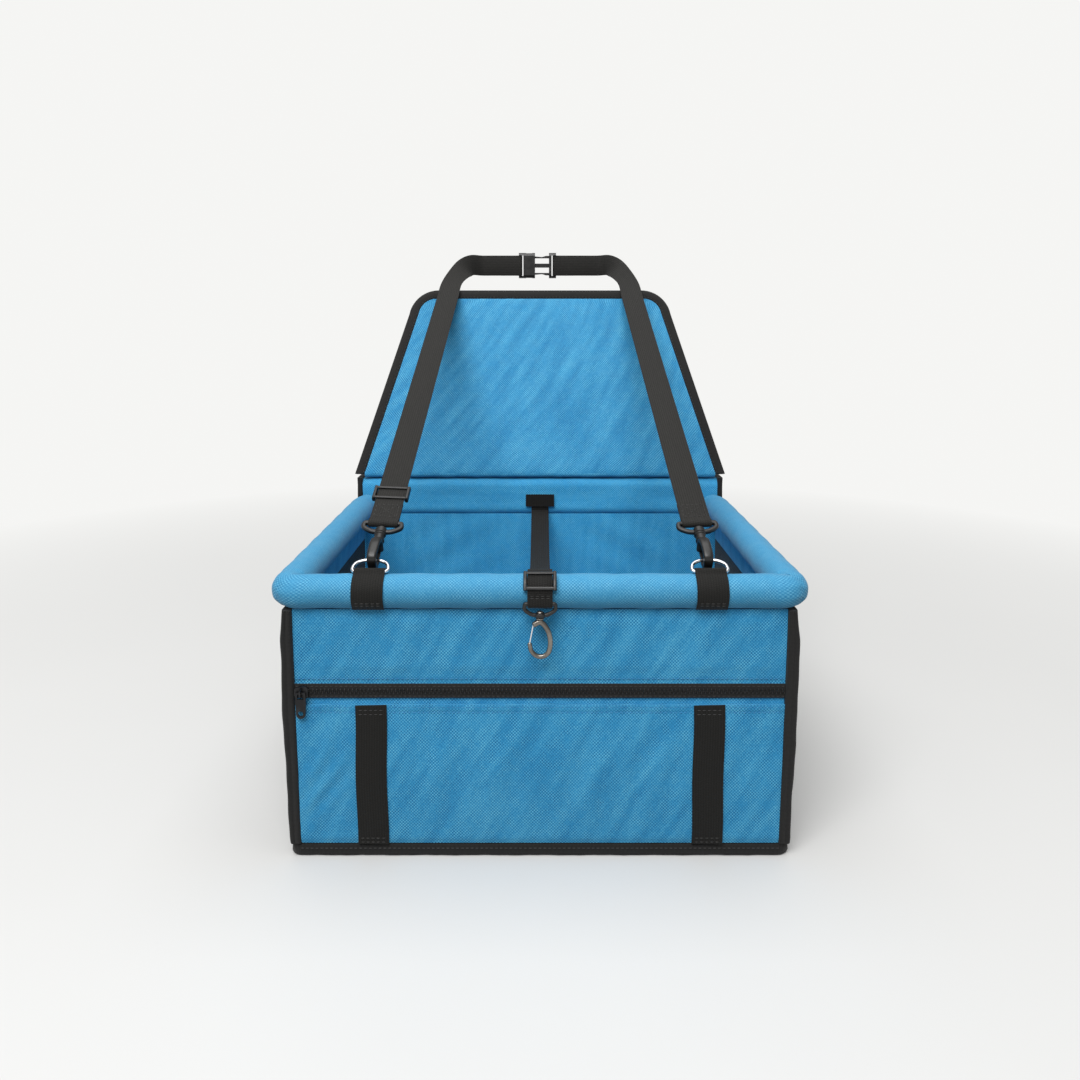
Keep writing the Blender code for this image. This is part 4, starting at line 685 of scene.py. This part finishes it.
def build_back_wall():
    top = 0.2142

    def face(u, v):
        x, z = (2 * u - 1) * BLUE_HALF, FOOT_Z + (top - FOOT_Z) * v
        slump = 0.0012 * soft(u, v) * (waves(x, z, 41, 1.2) + 0.6)
        # Loose folds that fall from the two upper corners
        for way in (-1, 1):
            slant = (x - way * 0.16) * way * 0.55 + (z - 0.19)
            slump = slump + 0.0009 * bell(x, way * 0.10, 0.055) * np.sin(tau * slant / 0.045) * soft(u, v, 0.3)
        return vec(x, 0.1528 - slump, z)

    def back(u, v):
        x, z = (2 * u - 1) * BLUE_HALF, FOOT_Z + (0.2112 - FOOT_Z) * v
        return vec(x, 0.1597 + 0.0004 * soft(u, v) * waves(x, z, 42), z)

    # The back wall wears the lighter blue copy, painted light against the shade inside the box
    cloth = Piece().slab(face, back, 150, 80).place("back_wall_cloth", "back_wall", BLUE_PAINTED_LIGHTER)


# Padded rim
def fuller(x):
    """The padding reaches further out along the sides than the tube inside it."""
    share = min(1.0, max(0.0, (x - 0.155) / 0.045))
    return 0.0043 * share * share * (3 - 2 * share)


def corner_station(degrees, apart, reach, share):
    """A station in the right-hand front corner; apart keeps the two sleeves' ends from touching."""
    angle = radians(degrees)
    outward = vec(cos(angle), sin(angle), 0)
    spot = vec(RIM_X - CORNER, RIM_Y + CORNER, RIM_Z) + np.cross(Z, outward) * apart
    spot = spot + outward * (CORNER + 0.0030 * sin(2 * angle - pi))
    return spot + X * fuller(spot[0]), outward, reach, 0.0002 + 0.0011 * share**3


def turned_in(station):
    """Ends a sleeve with its cloth tucked in towards the tube."""
    return [(*station[:3], gather) for gather in (0.0030, 0.0060, 0.0066)]


def build_sleeve(stations, label):
    """Rings round a padded tube; each station is middle, outward way, distance and gather."""
    angle = np.arange(56) * tau / 56
    rings = []
    for middle, outward, reach, gather in stations:
        ripple = half_wave(reach, 0.047, 1.3 * np.sin(angle * 2))
        fine = half_wave(reach, 0.019, 2.1 * np.cos(angle) + 1.0)
        crease = 0.5 + 0.5 * np.cos(angle * 9 + 2.0 * sin(reach * 90))
        radius = RIM_R - 0.00005 - 0.00045 * ripple - 0.00015 * fine - gather * (0.55 + 0.45 * crease)
        # The seam where the sleeve is closed runs along its underside
        radius = radius - 0.0007 * bell(angle, pi * 1.5, 0.05)
        rings.append(middle + np.outer(np.cos(angle) * radius, outward) + np.outer(np.sin(angle) * radius, Z))
    sleeve = Piece().tube(rings, caps=False).place(f"rim_sleeve_{label}", f"rim_{label}", BLUE_FINE)


def build_rim():
    straight = RIM_X - CORNER
    half = []
    for x in steps(0.0, straight, 60):
        near = max(0.0, 1 - (straight - x) / 0.03)
        half.append((vec(x + fuller(x), RIM_Y, RIM_Z), -Y, x, 0.0002 * near))
    for degrees in steps(270, 315, 14)[1:]:
        turn = degrees - 270
        half.append(corner_station(degrees, -0.0001 * (turn > 44), straight + CORNER * radians(turn), turn / 45))
    half += turned_in(half[-1])
    flip = vec(-1, 1, 1)
    build_sleeve([(m * flip, o * flip, -r, g) for m, o, r, g in half[:0:-1]] + half, "front")

    for label, side in SIDES:
        stations = []
        for degrees in steps(315, 360, 14)[:-1]:
            turn = degrees - 315
            stations.append(corner_station(degrees, 0.0001 * (turn < 1), CORNER * radians(turn), 1 - turn / 45))
        start = RIM_Y + CORNER
        for y in steps(start, SIDE_REAR, 56):
            out = fuller(RIM_X) * min(1.0, (SIDE_REAR - y) / 0.016) ** 0.5
            stations.append((vec(RIM_X + out, y, RIM_Z), X, CORNER * pi / 4 + y - start, 0.0))
        stations = turned_in(stations[0])[::-1] + stations + turned_in(stations[-1])
        if side < 0:
            stations = [(m * flip, o * flip, r, g) for m, o, r, g in stations]
        build_sleeve(stations, label)

    loop, _ = round_box(BAND_HALF, 0.010, 8, 0.003)
    ways = unit(loop)
    rings = []
    for x in steps(-BLUE_HALF, BLUE_HALF, 150):
        end = max(0.0, 1 - (BLUE_HALF - abs(x)) / 0.006)
        sink = 0.0004 + 0.0005 * waves(x, loop[:, 1], 51, 0.9) + 0.0008 * end
        dimple = 0.0010 * bell(loop[:, 1], 0.0, 0.012) * ease(-ways[:, 0]) * half_wave(x, 0.13)
        spots = loop - ways * (np.maximum(sink, 0) + dimple)[:, None]
        rings.append(vec(x, spots[:, 0] + BAND_Y, spots[:, 1] + BAND_Z))
    band = Piece().tube(rings)
    for way in (1, -1):
        band.row((0, BAND_FACE + 0.0022, BAND_Z + way * 0.0165), 0.200, -Y)
    # The back band wears the lighter blue copy, painted light against the shade inside the box
    band.place("rim_band_back", "rim_back", BLUE_PAINTED_LIGHTER, THREAD_BLUE)


def build_zip():
    tape_y, coil_y, pitch = -0.1713, -0.1730, 0.0016
    half = half_at(ZIP_Z)
    x = steps(-half, half, 260)
    wobble = 0.00012 * np.sin(tau * x / 0.031)
    tape = Piece()
    profile = ((0.0004, -0.1704), (0.0004, tape_y - 0.0002), (0.0023, tape_y - 0.0001), (0.0045, tape_y),
               (0.0056, tape_y + 0.0001), (0.0060, tape_y + 0.0004), (0.0060, -0.1704))
    for way in (-1, 1):
        tape.patch(np.array([vec(x, y + wobble * (y < -0.171), ZIP_Z + way * offset) for offset, y in profile]))
    for k in range(int(half * 2 / pitch)):
        way = 1 if k % 2 else -1
        rings = []
        for z, y, long, tall in ((-0.0006, 0.0008, 0.0005, 0.0005), (0.0004, 0.0005, 0.0006, 0.0005),
                                 (0.0014, 0.0005, 0.00045, 0.0005), (0.0023, 0.0011, 0.0003, 0.0004)):
            spot = vec(pitch * (k + 0.5) - half, coil_y + y, ZIP_Z + way * z)
            rings.append(ring_of(spot, X, Y, long, tall, 6, turn=0))
        tape.tube(rings, 1)
    for way in (-1, 1):
        tape.row((0, tape_y - 0.0001, ZIP_Z + way * 0.0042), half, -Y, 2)
    tape.place("zip_tape_cloth", "zip_tape", BINDING, PLASTIC, THREAD_DARK)


# Webbing on the rim and the harness
def round_rim(degrees, reach, x=0.0):
    """A spot beside the front rim, by its angle from straight up towards the front."""
    return vec(x, RIM_Y - reach * sin(radians(degrees)), RIM_Z + reach * cos(radians(degrees)))


def build_ring_bands():
    flat = RIM_R + FIT + WEB_T / 2
    lifts = ((0, 1.0), (3, 0.95), (6, 0.84), (11, 0.36), (16, 0.1), (24, 0.0), (34, 0), (45, 0), (60, 0), (75, 0),
             (90, 0), (105, 0), (120, 0), (133, 0), (145, 0))
    turns = [(-d, s) for d, s in lifts[:0:-1]] + list(lifts)
    for label, side in SIDES:
        x = side * STRIP_X
        route = smooth_route([round_rim(d, flat + (0.0029 + FIT) * share, x) for d, share in turns], 3)
        band = Piece().ribbon(route)
        for shift in (0, 0.0022):
            degrees = 112 + np.degrees(shift / RIM_R)
            band.row(round_rim(degrees, flat + WEB_T / 2, x), 0.0108, round_rim(degrees, 1) - (0, RIM_Y, RIM_Z))
        band.place(f"ring_band_{label}", f"rim_band_{label}", WEBBING, THREAD_DARK)


def fold_spots(bar_radius, tail):
    """Webbing sewn round a bar: (along, lift) of the tail, the turn and the run."""
    turn = bar_radius + FIT + WEB_T / 2
    spots = [(tail, -LAYER), (tail * 0.66, -LAYER), (tail * 0.33, -LAYER), (turn * 2.2, -LAYER)]
    spots += [(-turn * sin(pi * k / 12), -turn * cos(pi * k / 12)) for k in range(13)]
    return [*spots, (turn * 2.2, LAYER), (tail * 0.5, LAYER), (tail, LAYER)]


HOOK_FOOT, HOOK_HEIGHT, HOOK_REACH = 0.00845, 0.0228, 0.0079
BARREL_END, BOSS_MID, EYE_BAR = 0.04165, 0.0445, 0.0548
STRAP_TOP = vec(0.1085, 0.23604, 0.48418)
STRAIGHT = 0.93
RING_BAR_Z = 0.23915
LOOP_Y, LOOP_Z = 0.28254, 0.50798
POST = 0.0754 + 0.0120


def harness_line(side):
    origin = vec(side * STRIP_X, RIM_Y, RING_BAR_Z)
    return Line(origin, STRAP_TOP * vec(side, 1, 1) - origin, X)


def build_straps():
    for label, side in SIDES:
        line = harness_line(side)
        full = np.linalg.norm(STRAP_TOP * vec(side, 1, 1) - line.origin)
        route = [line.at(0, EYE_BAR + s, n) for s, n in fold_spots(0.0020, 0.024)]
        route += [line.at(0, s, LAYER) for s in steps(EYE_BAR + 0.024, full * STRAIGHT, 50)[1:]]
        widths = [line.across] * len(route)
        bar = 0.0258 if side < 0 else 0.0193
        folded = fold_spots(0.0017, 0.024)[::-1]
        parts = 14
        curve = smooth_route([
            line.at(0, full * STRAIGHT, LAYER),
            line.at(0, full, LAYER),
            vec(side * (POST + STRAP_TOP[0]) / 2, STRAP_TOP[1] + 0.018, LOOP_Z - 0.008),
            vec(side * POST, LOOP_Y - 0.012, LOOP_Z),
            vec(side * (POST - 0.012), LOOP_Y - LAYER, LOOP_Z),
            vec(side * (bar + folded[0][0] + 0.012), LOOP_Y - LAYER, LOOP_Z),
        ], parts)
        for _ in range(16):
            curve[1:-1] = (curve[:-2] + 2 * curve[1:-1] + curve[2:]) / 4
        for k, spot in enumerate(curve[1:], 1 - parts):
            # The webbing twists from lying on the panel to standing upright round the post
            turn = min(1, max(0, k) / (len(curve) - 1 - parts) / 0.62)
            blend = turn * turn * (3 - 2 * turn)
            route.append(spot)
            widths.append(line.across * (1 - blend) + Z * side * blend)
        route += [vec(side * (bar + s), LOOP_Y - n, LOOP_Z) for s, n in folded]
        widths += [Z * side] * len(folded)
        strap = Piece().ribbon(route, np.array(widths))
        for way in (1, -1):
            strap.box_stitch(line, EYE_BAR + 0.0070, EYE_BAR + 0.0215, way * (LAYER + WEB_T / 2), 0.0098)
        # The straps use the paler webbing copy, painted lighter for the light they catch
        strap.place(f"webbing_strap_{label}", f"strap_{label}", WEBBING_PAINTED_LIGHTER, THREAD_DARK)


# Upper back panel
def panel_spot(x, length, rear):
    x, length, rear = np.broadcast_arrays(x, length, rear)
    return HINGE + x[..., None] * X + length[..., None] * UP + rear[..., None] * REAR


def panel_edge(inset, start=0.0):
    """Right-hand edge of the panel as (half width, length), up to its flat top."""
    radius, shoulder = 0.030 - inset, BACK_LONG - 0.030

    def half(length):
        return 0.2157 - 0.0657 * length / BACK_LONG - inset

    edge = [(half(s), s) for s in steps(start, shoulder, 41)]
    for k in range(1, 15):
        angle = pi / 2 * k / 14
        reach = shoulder + radius * sin(angle)
        edge.append(((half(shoulder) + half(reach)) / 2 - radius * (1 - cos(angle)), reach))
    return np.array(edge)


def within(edge, u, v):
    """Place on the panel, as x and length, for spots of the unit square."""
    half, length = (np.interp(v * (len(edge) - 1), np.arange(len(edge)), column) for column in edge.T)
    return (2 * u - 1) * half, length


def build_back_panel():
    edge = panel_edge(0.0121)

    def face(u, v):
        x, length = within(edge, u, v)
        body = ease(np.sin(pi * u) * np.sin(pi * length / edge[-1, 1]))
        drape = 0.0010 * waves(x, length, 61, 1.5)
        crease = 0.0011 * bell(x + 0.10 * (length - 0.11), -0.062, 0.006) * ease(length, 0.03, 0.08)
        dent = 0.0010 * bell(x - 0.18 * (length - 0.15), 0.075, 0.012)
        return panel_spot(x, length, -0.0040 - 0.0030 * body**0.5 - (drape + crease - dent) * body**0.35)

    body = Piece().slab(face, lambda u, v: panel_spot(*within(edge, u, v), 0.0002), 150, 110)
    rings = []
    for x in steps(-edge[0, 0], edge[0, 0], 90):
        radius = 0.0040 - 0.0003 * half_wave(x, 0.033)
        rings.append(ring_of(HINGE + X * x, Z, Y, radius, radius, 24, turn=0))
    body.tube(rings)
    for u in (0.0, 1.0):
        body.stitches(face(u, steps(0.004, 0.985, 120)) + X * (0.0022 - 0.0044 * u), -REAR)
    cloth = body.place("back_rest_pad", "back_panel", BLUE, THREAD_BLUE, body="back_rest")

    rear_edge = panel_edge(0.0129, 0.0043)

    def cover(u, v, rear=0.0036, sag=0.0006):
        x, length = within(rear_edge, u, v)
        return panel_spot(x, length, rear + sag * (0.5 + 0.5 * waves(x, length, 62, 1.3)) * soft(u, v))

    rear = Piece().slab(cover, lambda u, v: cover(u, v, 0.0026, 0.0), 110, 80)
    cloth = rear.place("back_rest_cover", "back_cover", LINING, body="back_rest")

    outer, inner = panel_edge(0.0), panel_edge(0.0130)
    front = ((1, 0), (0.93, 0.72), (0.80, 1), (0.5, 1.06), (0.2, 1), (0.05, 0.80), (0, 0.4))
    section = (*front, *((a, -n) for a, n in front[:0:-1]))
    rings = []
    for k, (near, far) in enumerate(zip(inner, outer)):
        thick = 0.0040 * (1 - 0.05 * (0.5 + 0.5 * sin(k * 0.9)))
        rings.append(np.array([panel_spot(*(near + (far - near) * a), n * thick) for a, n in section]))
    tape = Piece().tube(rings + [ring * (-1, 1, 1) for ring in rings[::-1]])
    x, length = (inner + (outer - inner) * 0.22).T
    for way in (-1, 1):
        tape.stitches(panel_spot(way * x, length, -0.0041), -REAR)
    tape.row(panel_spot(0, length[-1], -0.0041), x[-1], -REAR)
    tape.place("back_rest_tape", "back_panel_binding", BINDING, THREAD_DARK, body="back_rest")


def build_hinge_tape():
    """Tape that joins the foot of the panel to the band, curved round the joint."""
    route = [(0, 0.1722, 0.2573), (0, 0.1650, 0.2573), (0, 0.1612, 0.2580), (0, 0.1602, 0.2613)]
    route += [panel_spot(0, s, 0.0050) for s in (0.0060, 0.0115)]
    tape = Piece().ribbon(smooth_route(route, 8), X, 0.4030, 0.0006)
    for y in (0.1700, 0.1689):
        tape.row((0, y, 0.2576), 0.198, Z)
    tape = tape.build("hinge_tape", BINDING, THREAD_DARK)
    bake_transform(tape)


# Tether
HANG_REACH = RIM_R + FIT * 3 + 0.0016 + WEB_T / 2
HANG_Y = RIM_Y - HANG_REACH
EYE_Z = 0.2180


def build_tether():
    strap_y, foot, top = BAND_FACE - FIT - WEB_T / 2, 0.2236, 0.2378
    patch_y = strap_y - FIT - WEB_T
    patch = Piece().ribbon(vec(0, patch_y, steps(foot, top, 12)), X, 0.0330)
    patch.box_stitch(Line((0, patch_y, foot), Z, X), 0.0022, 0.0120, -WEB_T / 2, 0.0140)
    patch.place("tether_anchor", "tether_patch", WEBBING, THREAD_DARK)

    route = [vec(0, strap_y, z) for z in (top - FIT, (top + foot) / 2, foot)]
    # The strap lands on the rim's inner side, this many degrees behind its top
    landing, flat = 50, RIM_R + FIT + WEB_T / 2
    start, end = vec(0, strap_y, foot - WEB_T * 4), round_rim(-landing, flat)
    sag = ((0.04, 0.18), (0.22, 0.72), (0.48, 1.0), (0.74, 0.74), (0.93, 0.20))
    sagging = [start + (end - start) * share - Z * 0.034 * drop for share, drop in sag]
    route += list(smooth_route([start, *sagging, end], 12))
    for degrees in steps(-landing, 82, 40)[1:]:
        lift = min(1, (degrees + landing) / landing)
        route.append(round_rim(degrees, flat + (HANG_REACH - flat) * lift))
    route += [vec(0, HANG_Y + n, EYE_Z + s) for s, n in fold_spots(0.0016, 0.0080)[::-1]]
    strap = Piece().ribbon(route, X, 0.0200)
    for z in (0.0050, 0.0068):
        strap.row((0, HANG_Y - LAYER - WEB_T / 2, EYE_Z + z), 0.0085, -Y)
    strap.place("tether_webbing", "tether_strap", WEBBING, THREAD_DARK)


# Hardware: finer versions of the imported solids, each in the same place
def eased(profile):
    """A turned outline whose corners are cut back a little."""
    out = [profile[0]]
    for before, (s, r), after in zip(profile, profile[1:], profile[2:]):
        for other in (before, after):
            share = min(0.45, 0.0004 / max(hypot(other[0] - s, other[1] - r), 1e-9))
            out.append((s + (other[0] - s) * share, r + (other[1] - r) * share))
    return [*out, profile[-1]]


EYE_HALF = ((1.0, -0.18), (0.98, -0.52), (0.68, -0.84), (0.34, -1.0))
EYE_OUTLINE = ((-0.90, 0.0), (-0.3, 0.0), (0.3, 0.0), (0.90, 0.0), *EYE_HALF, *((-a, s) for a, s in EYE_HALF[::-1]))
HOOK_OUTLINE = ((-0.78, 0.93), (0, 1), (0.70, 0.93), (1, 0.66), (1, 0.34), (0.78, 0.07), (0.28, 0), (-0.28, 0),
                (-0.78, 0.07), (-1, 0.36))
TETHER_HOOK_OUTLINE = ((-0.55, 0.93), (0, 1), (0.50, 0.88), (0.88, 0.66), (1, 0.38), (0.82, 0.12), (0.28, 0),
                       (-0.35, 0.02), (-0.85, 0.17), (-1, 0.36))


def build_rings():
    wire_r, corner = 0.00145, 0.0026
    half = WEB / 2 + FIT + wire_r
    flat = half - corner
    spots = [(a, 0) for a in steps(-flat, flat, 14)]
    spots += [(flat + corner * cos(t), corner + corner * sin(t)) for t in steps(-pi / 2, 0, 6)[1:]]
    arch = [(half * cos(t), 0.0126 * sin(t) ** 0.55) for t in steps(0, pi, 33)[1:-1]]
    spots += [(a, s) for a, s in arch if s > corner]
    spots += [(corner * cos(t) - flat, corner + corner * sin(t)) for t in steps(pi, pi * 1.5, 6)[:-1]]
    for label, side in SIDES:
        slope = harness_line(side)
        line = Line(slope.origin, slope.along * (0, 1, 1), X)
        ring = Piece().bar([line.at(a, s, 0) for a, s in spots], line.lift, wire_r, wire_r, closed=True)
        ring.place(f"ring_{label}", f"d_ring_{label}", CHROME, body=f"d_ring_{label}")


def swivel_eye(name, node, line, bar_at, drop, wide, stock, boss, power):
    """Webbing eye with a bored boss: its middle, half length, radius and bore."""
    half, radius, cut = (wide - stock) / 2, stock / 2, 0.0004
    route = smooth_route([line.at(half * x, bar_at + drop * s, 0) for x, s in EYE_OUTLINE], 6, closed=True)
    eye = Piece().bar(route, line.lift, radius, radius, power=power, closed=True)
    middle, h, outer, bore = boss
    profile = ((-h, bore), (-h, outer - cut), (cut - h, outer), (h - cut, outer), (h, outer - cut), (h, bore))
    eye.turned(line, [(middle + s, r) for s, r in profile], closed=True)
    eye.place(name, node, PLASTIC)


def scaled(shares, size):
    """Hook and gate spots as (along, lift), from shares of the hook's reach, foot and height."""
    reach, foot, height = size
    return [(foot + height * along, reach * lift) for lift, along in shares]


def hook_piece(name, node, line, outline, size, sections, barrel, mat, power):
    route = smooth_route([line.at(0, *spot) for spot in scaled(outline, size)], 8)
    wide, deep = np.outer(sections, 1 - 0.22 * steps(0, 1, len(route)))
    hook = Piece().bar(route, line.across, wide, deep, 24, power, sections[1] * 0.6)
    hook.turned(line, eased(barrel)).place(name, node, mat, body=node)


def gate_route(line, ends, size, low, high, count):
    a, b = (line.at(0, *spot) for spot in scaled(ends, size))
    return a + (b - a) * steps(low, high, count)[:, None]


def build_hooks():
    size = (HOOK_REACH, HOOK_FOOT, HOOK_HEIGHT)
    low, collar, end = HOOK_FOOT + HOOK_HEIGHT - 0.0012, HOOK_FOOT + HOOK_HEIGHT + 0.0024, BARREL_END
    head = BOSS_MID + 0.00255 + FIT
    thin, thick, post = 0.0041, 0.0049, 0.0023
    barrel = (
        (low, 0.0), (low, thin), (collar, thin), (collar, thick), (collar + 0.0018, thick), (collar + 0.0018, thin),
        (end - 0.0018, thin), (end - 0.0018, thick), (end, thick), (end, post), (head, post), (head, 0.0038),
        (head + 0.0018, 0.0030), (head + 0.0018, 0.0),
    )
    ends = ((-1, 0.86), (-1, 0.41))
    for label, side in SIDES:
        line = harness_line(side)
        boss = (BOSS_MID, 0.00255, 0.0050, 0.0026)
        swivel_eye(f"strap_eye_{label}", f"snap_eye_{label}", line, EYE_BAR, 0.0103, 0.0360, 0.0040, boss, 2.8)
        hook = f"snap_hook_{label}"
        hook_piece(f"hook_{label}", hook, line, HOOK_OUTLINE, size, (0.0045, 0.0024), barrel, PLASTIC, 3.0)
        route = gate_route(line, ends, size, 0, 1, 12)
        leaf = Piece().bar(route, line.across, 0.0025, 0.0009, 16, 4.0, 0.0002)
        rib = gate_route(line, ends, size, 0.55, 0.62, 3) - line.lift * 0.0008
        leaf.bar(rib, line.across, 0.0022, 0.0004, 12, 4.0)
        leaf.place(f"gate_{label}", f"snap_gate_{label}", PLASTIC, body=f"snap_gate_{label}")


def ladder(name, node, body, spot, width):
    """Three-bar slider, moulded with soft edges; spot maps (across, along, lift)."""
    half, rail, half_long = width / 2 + FIT, 0.0030, 0.00775
    upper = WEB_T / 2 + FIT
    rise = upper + 0.0016
    slider = Piece()

    def moulded(middles, way, radii, power):
        """Rings round the rails or bars; way and lift span each section."""
        sections = (ring_of(middle, way, Z, *radius, 20, power) for middle, radius in zip(middles, radii))
        slider.tube([[spot(*point) for point in section] for section in sections])

    spread = ((-1, 0.82), (0.0003 / half_long - 1, 1.0), *((t, 1.0) for t in (-0.6, -0.2, 0.2, 0.6)),
              (1 - 0.0003 / half_long, 1.0), (1, 0.82))
    for way in (-1, 1):
        middles = [vec(way * (half + rail / 2), t * half_long, 0) for t, _ in spread]
        moulded(middles, X, [(rail / 2, (rise + FIT) * size) for _, size in spread], 4)
    end = half_long - FIT - 0.0012
    for middle_s, middle_n in ((-end, upper + rise), (end, upper + rise), (0, -rise - upper)):
        middles = [vec(a, middle_s, middle_n / 2) for a in steps(-half - rail / 2, half + rail / 2, 10)]
        moulded(middles, Y, [(0.0012, (rise - upper) / 2)] * 10, 2 / 0.6)
    slider.place(name, node, PLASTIC, body=body)


def build_adjusters():
    line = harness_line(-1)

    def slope(a, s, n):
        return line.at(a, 0.091 + s, LAYER + n)

    def bend(a, s, n):
        return round_rim(46 + np.degrees(s / HANG_REACH), HANG_REACH + n, a)

    ladder("slider_left", "strap_adjuster_left", "strap_adjuster", slope, WEB)
    ladder("tether_slider", "tether_adjuster", "seat", bend, 0.0200)


def build_tether_hook():
    middle, half = EYE_Z - 0.0090, 0.0017
    hang = Line((0, HANG_Y, 0), Z, X)
    boss = (middle, half, 0.0040, 0.0019)
    swivel_eye("tether_eye_loop", "tether_eye", hang, EYE_Z, 0.0090, 0.0276, 0.0032, boss, 2.6)
    plane = Line((0, HANG_Y, 0), Z, Y)
    neck, head, post = middle - half - FIT, middle + half + FIT, 0.0016
    collar = neck - 0.0014
    size = (0.0082, collar - 0.0304, 0.0281)
    top = size[1] + size[2]
    barrel = (
        (top, 0.0), (top, post), (collar, post), (collar, 0.0034), (neck, 0.0034), (neck, post), (head, post),
        (head, 0.0028), (head + 0.0012, 0.0021), (head + 0.0012, 0.0),
    )
    hook_piece("tether_snap", "tether_hook", plane, TETHER_HOOK_OUTLINE, size, (0.0023, 0.0023), barrel, NICKEL, 2.2)
    route = gate_route(plane, ((-0.656, 0.915), (-1.0, 0.385)), size, 0, 1, 14)
    gate = Piece().bar(route, plane.across, 0.00065, 0.00065, 14)
    gate.place("tether_wire_gate", "tether_gate", CHROME, body="tether_gate")


def dress_cad():
    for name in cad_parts:
        for slot in bpy.data.objects[name].material_slots:
            key = slot.material.name.split(".")[0]
            if key in SLOTS:
                slot.material = SLOTS[key][0]


# Floor, light and run
WHITE = (0.915, 0.915, 0.900, 1)


def make_stage():
    mesh = bpy.data.meshes.new("floor")
    corners = [(x, y, -0.0002) for x, y in ((-12, -12), (12, -12), (12, 12), (-12, 12))]
    mesh.from_pydata(corners, [], [(0, 1, 2, 3)])
    n = Nodes("pale_floor")
    cloud = n.noise(3.0)
    path = n.node("LightPath")
    seen = n.math("MAXIMUM", path["Is Camera Ray"], path["Is Glossy Ray"])
    seen = n.math("MAXIMUM", seen, path["Is Transmission Ray"])
    pale = n.mix(cloud, (206, 206, 205), (210, 210, 209))
    n.done(n.mix(seen, (150, 150, 149), pale), 0.95, Specular_IOR_Level=0.1)
    # Far from the product the floor fades into the white behind it
    fade = n.ramp(n.length(*n.split(n.node("TexCoord")["Object"])), 0.40, 1.5)
    glow = n.node("Emission", {"Color": WHITE, "Strength": n.ramp(seen, 0.0, 1.0, 0.25, 1.0)})[0]
    both = n.node("MixShader", {0: fade, 1: n.shader.outputs[0], 2: glow})[0]
    n.feed(n.tree.nodes["Material Output"].inputs["Surface"], both)
    mesh.materials.append(n.mat)
    link("floor", mesh)


def make_light():
    n = Nodes("studio", bpy.data.worlds, "Background")
    bpy.context.scene.world = n.mat
    path = n.node("LightPath")
    seen = n.math("MAXIMUM", path["Is Camera Ray"], path["Is Transmission Ray"])
    n.feed(n.shader.inputs["Strength"], n.ramp(seen, 0.0, 1.0, 0.42, 1.0))
    n.feed(n.shader.inputs["Color"], WHITE)
    for name, spot, tall, power in (("key", (-0.5, -1.7, 2.3), 1.4, 74), ("top", (0, 0.1, 2.4), 1.6, 24)):
        data = bpy.data.lights.new(name, "AREA")
        data.shape, data.size, data.size_y, data.energy = "RECTANGLE", 2.0, tall, power
        light = link(name, data)
        light.location = spot
        light.rotation_euler = (Vector((0, 0, 0.2)) - Vector(spot)).to_track_quat("-Z", "Y").to_euler()
    bpy.context.scene.view_settings.view_transform = "Standard"


for build in (
    make_camera, build_base, build_front, build_corners, build_sides, build_back_wall, build_rim, build_zip,
    build_ring_bands, build_straps, build_back_panel, build_hinge_tape, build_tether, build_rings, build_hooks,
    build_adjusters, build_tether_hook, dress_cad, make_stage, make_light,
):
    build()
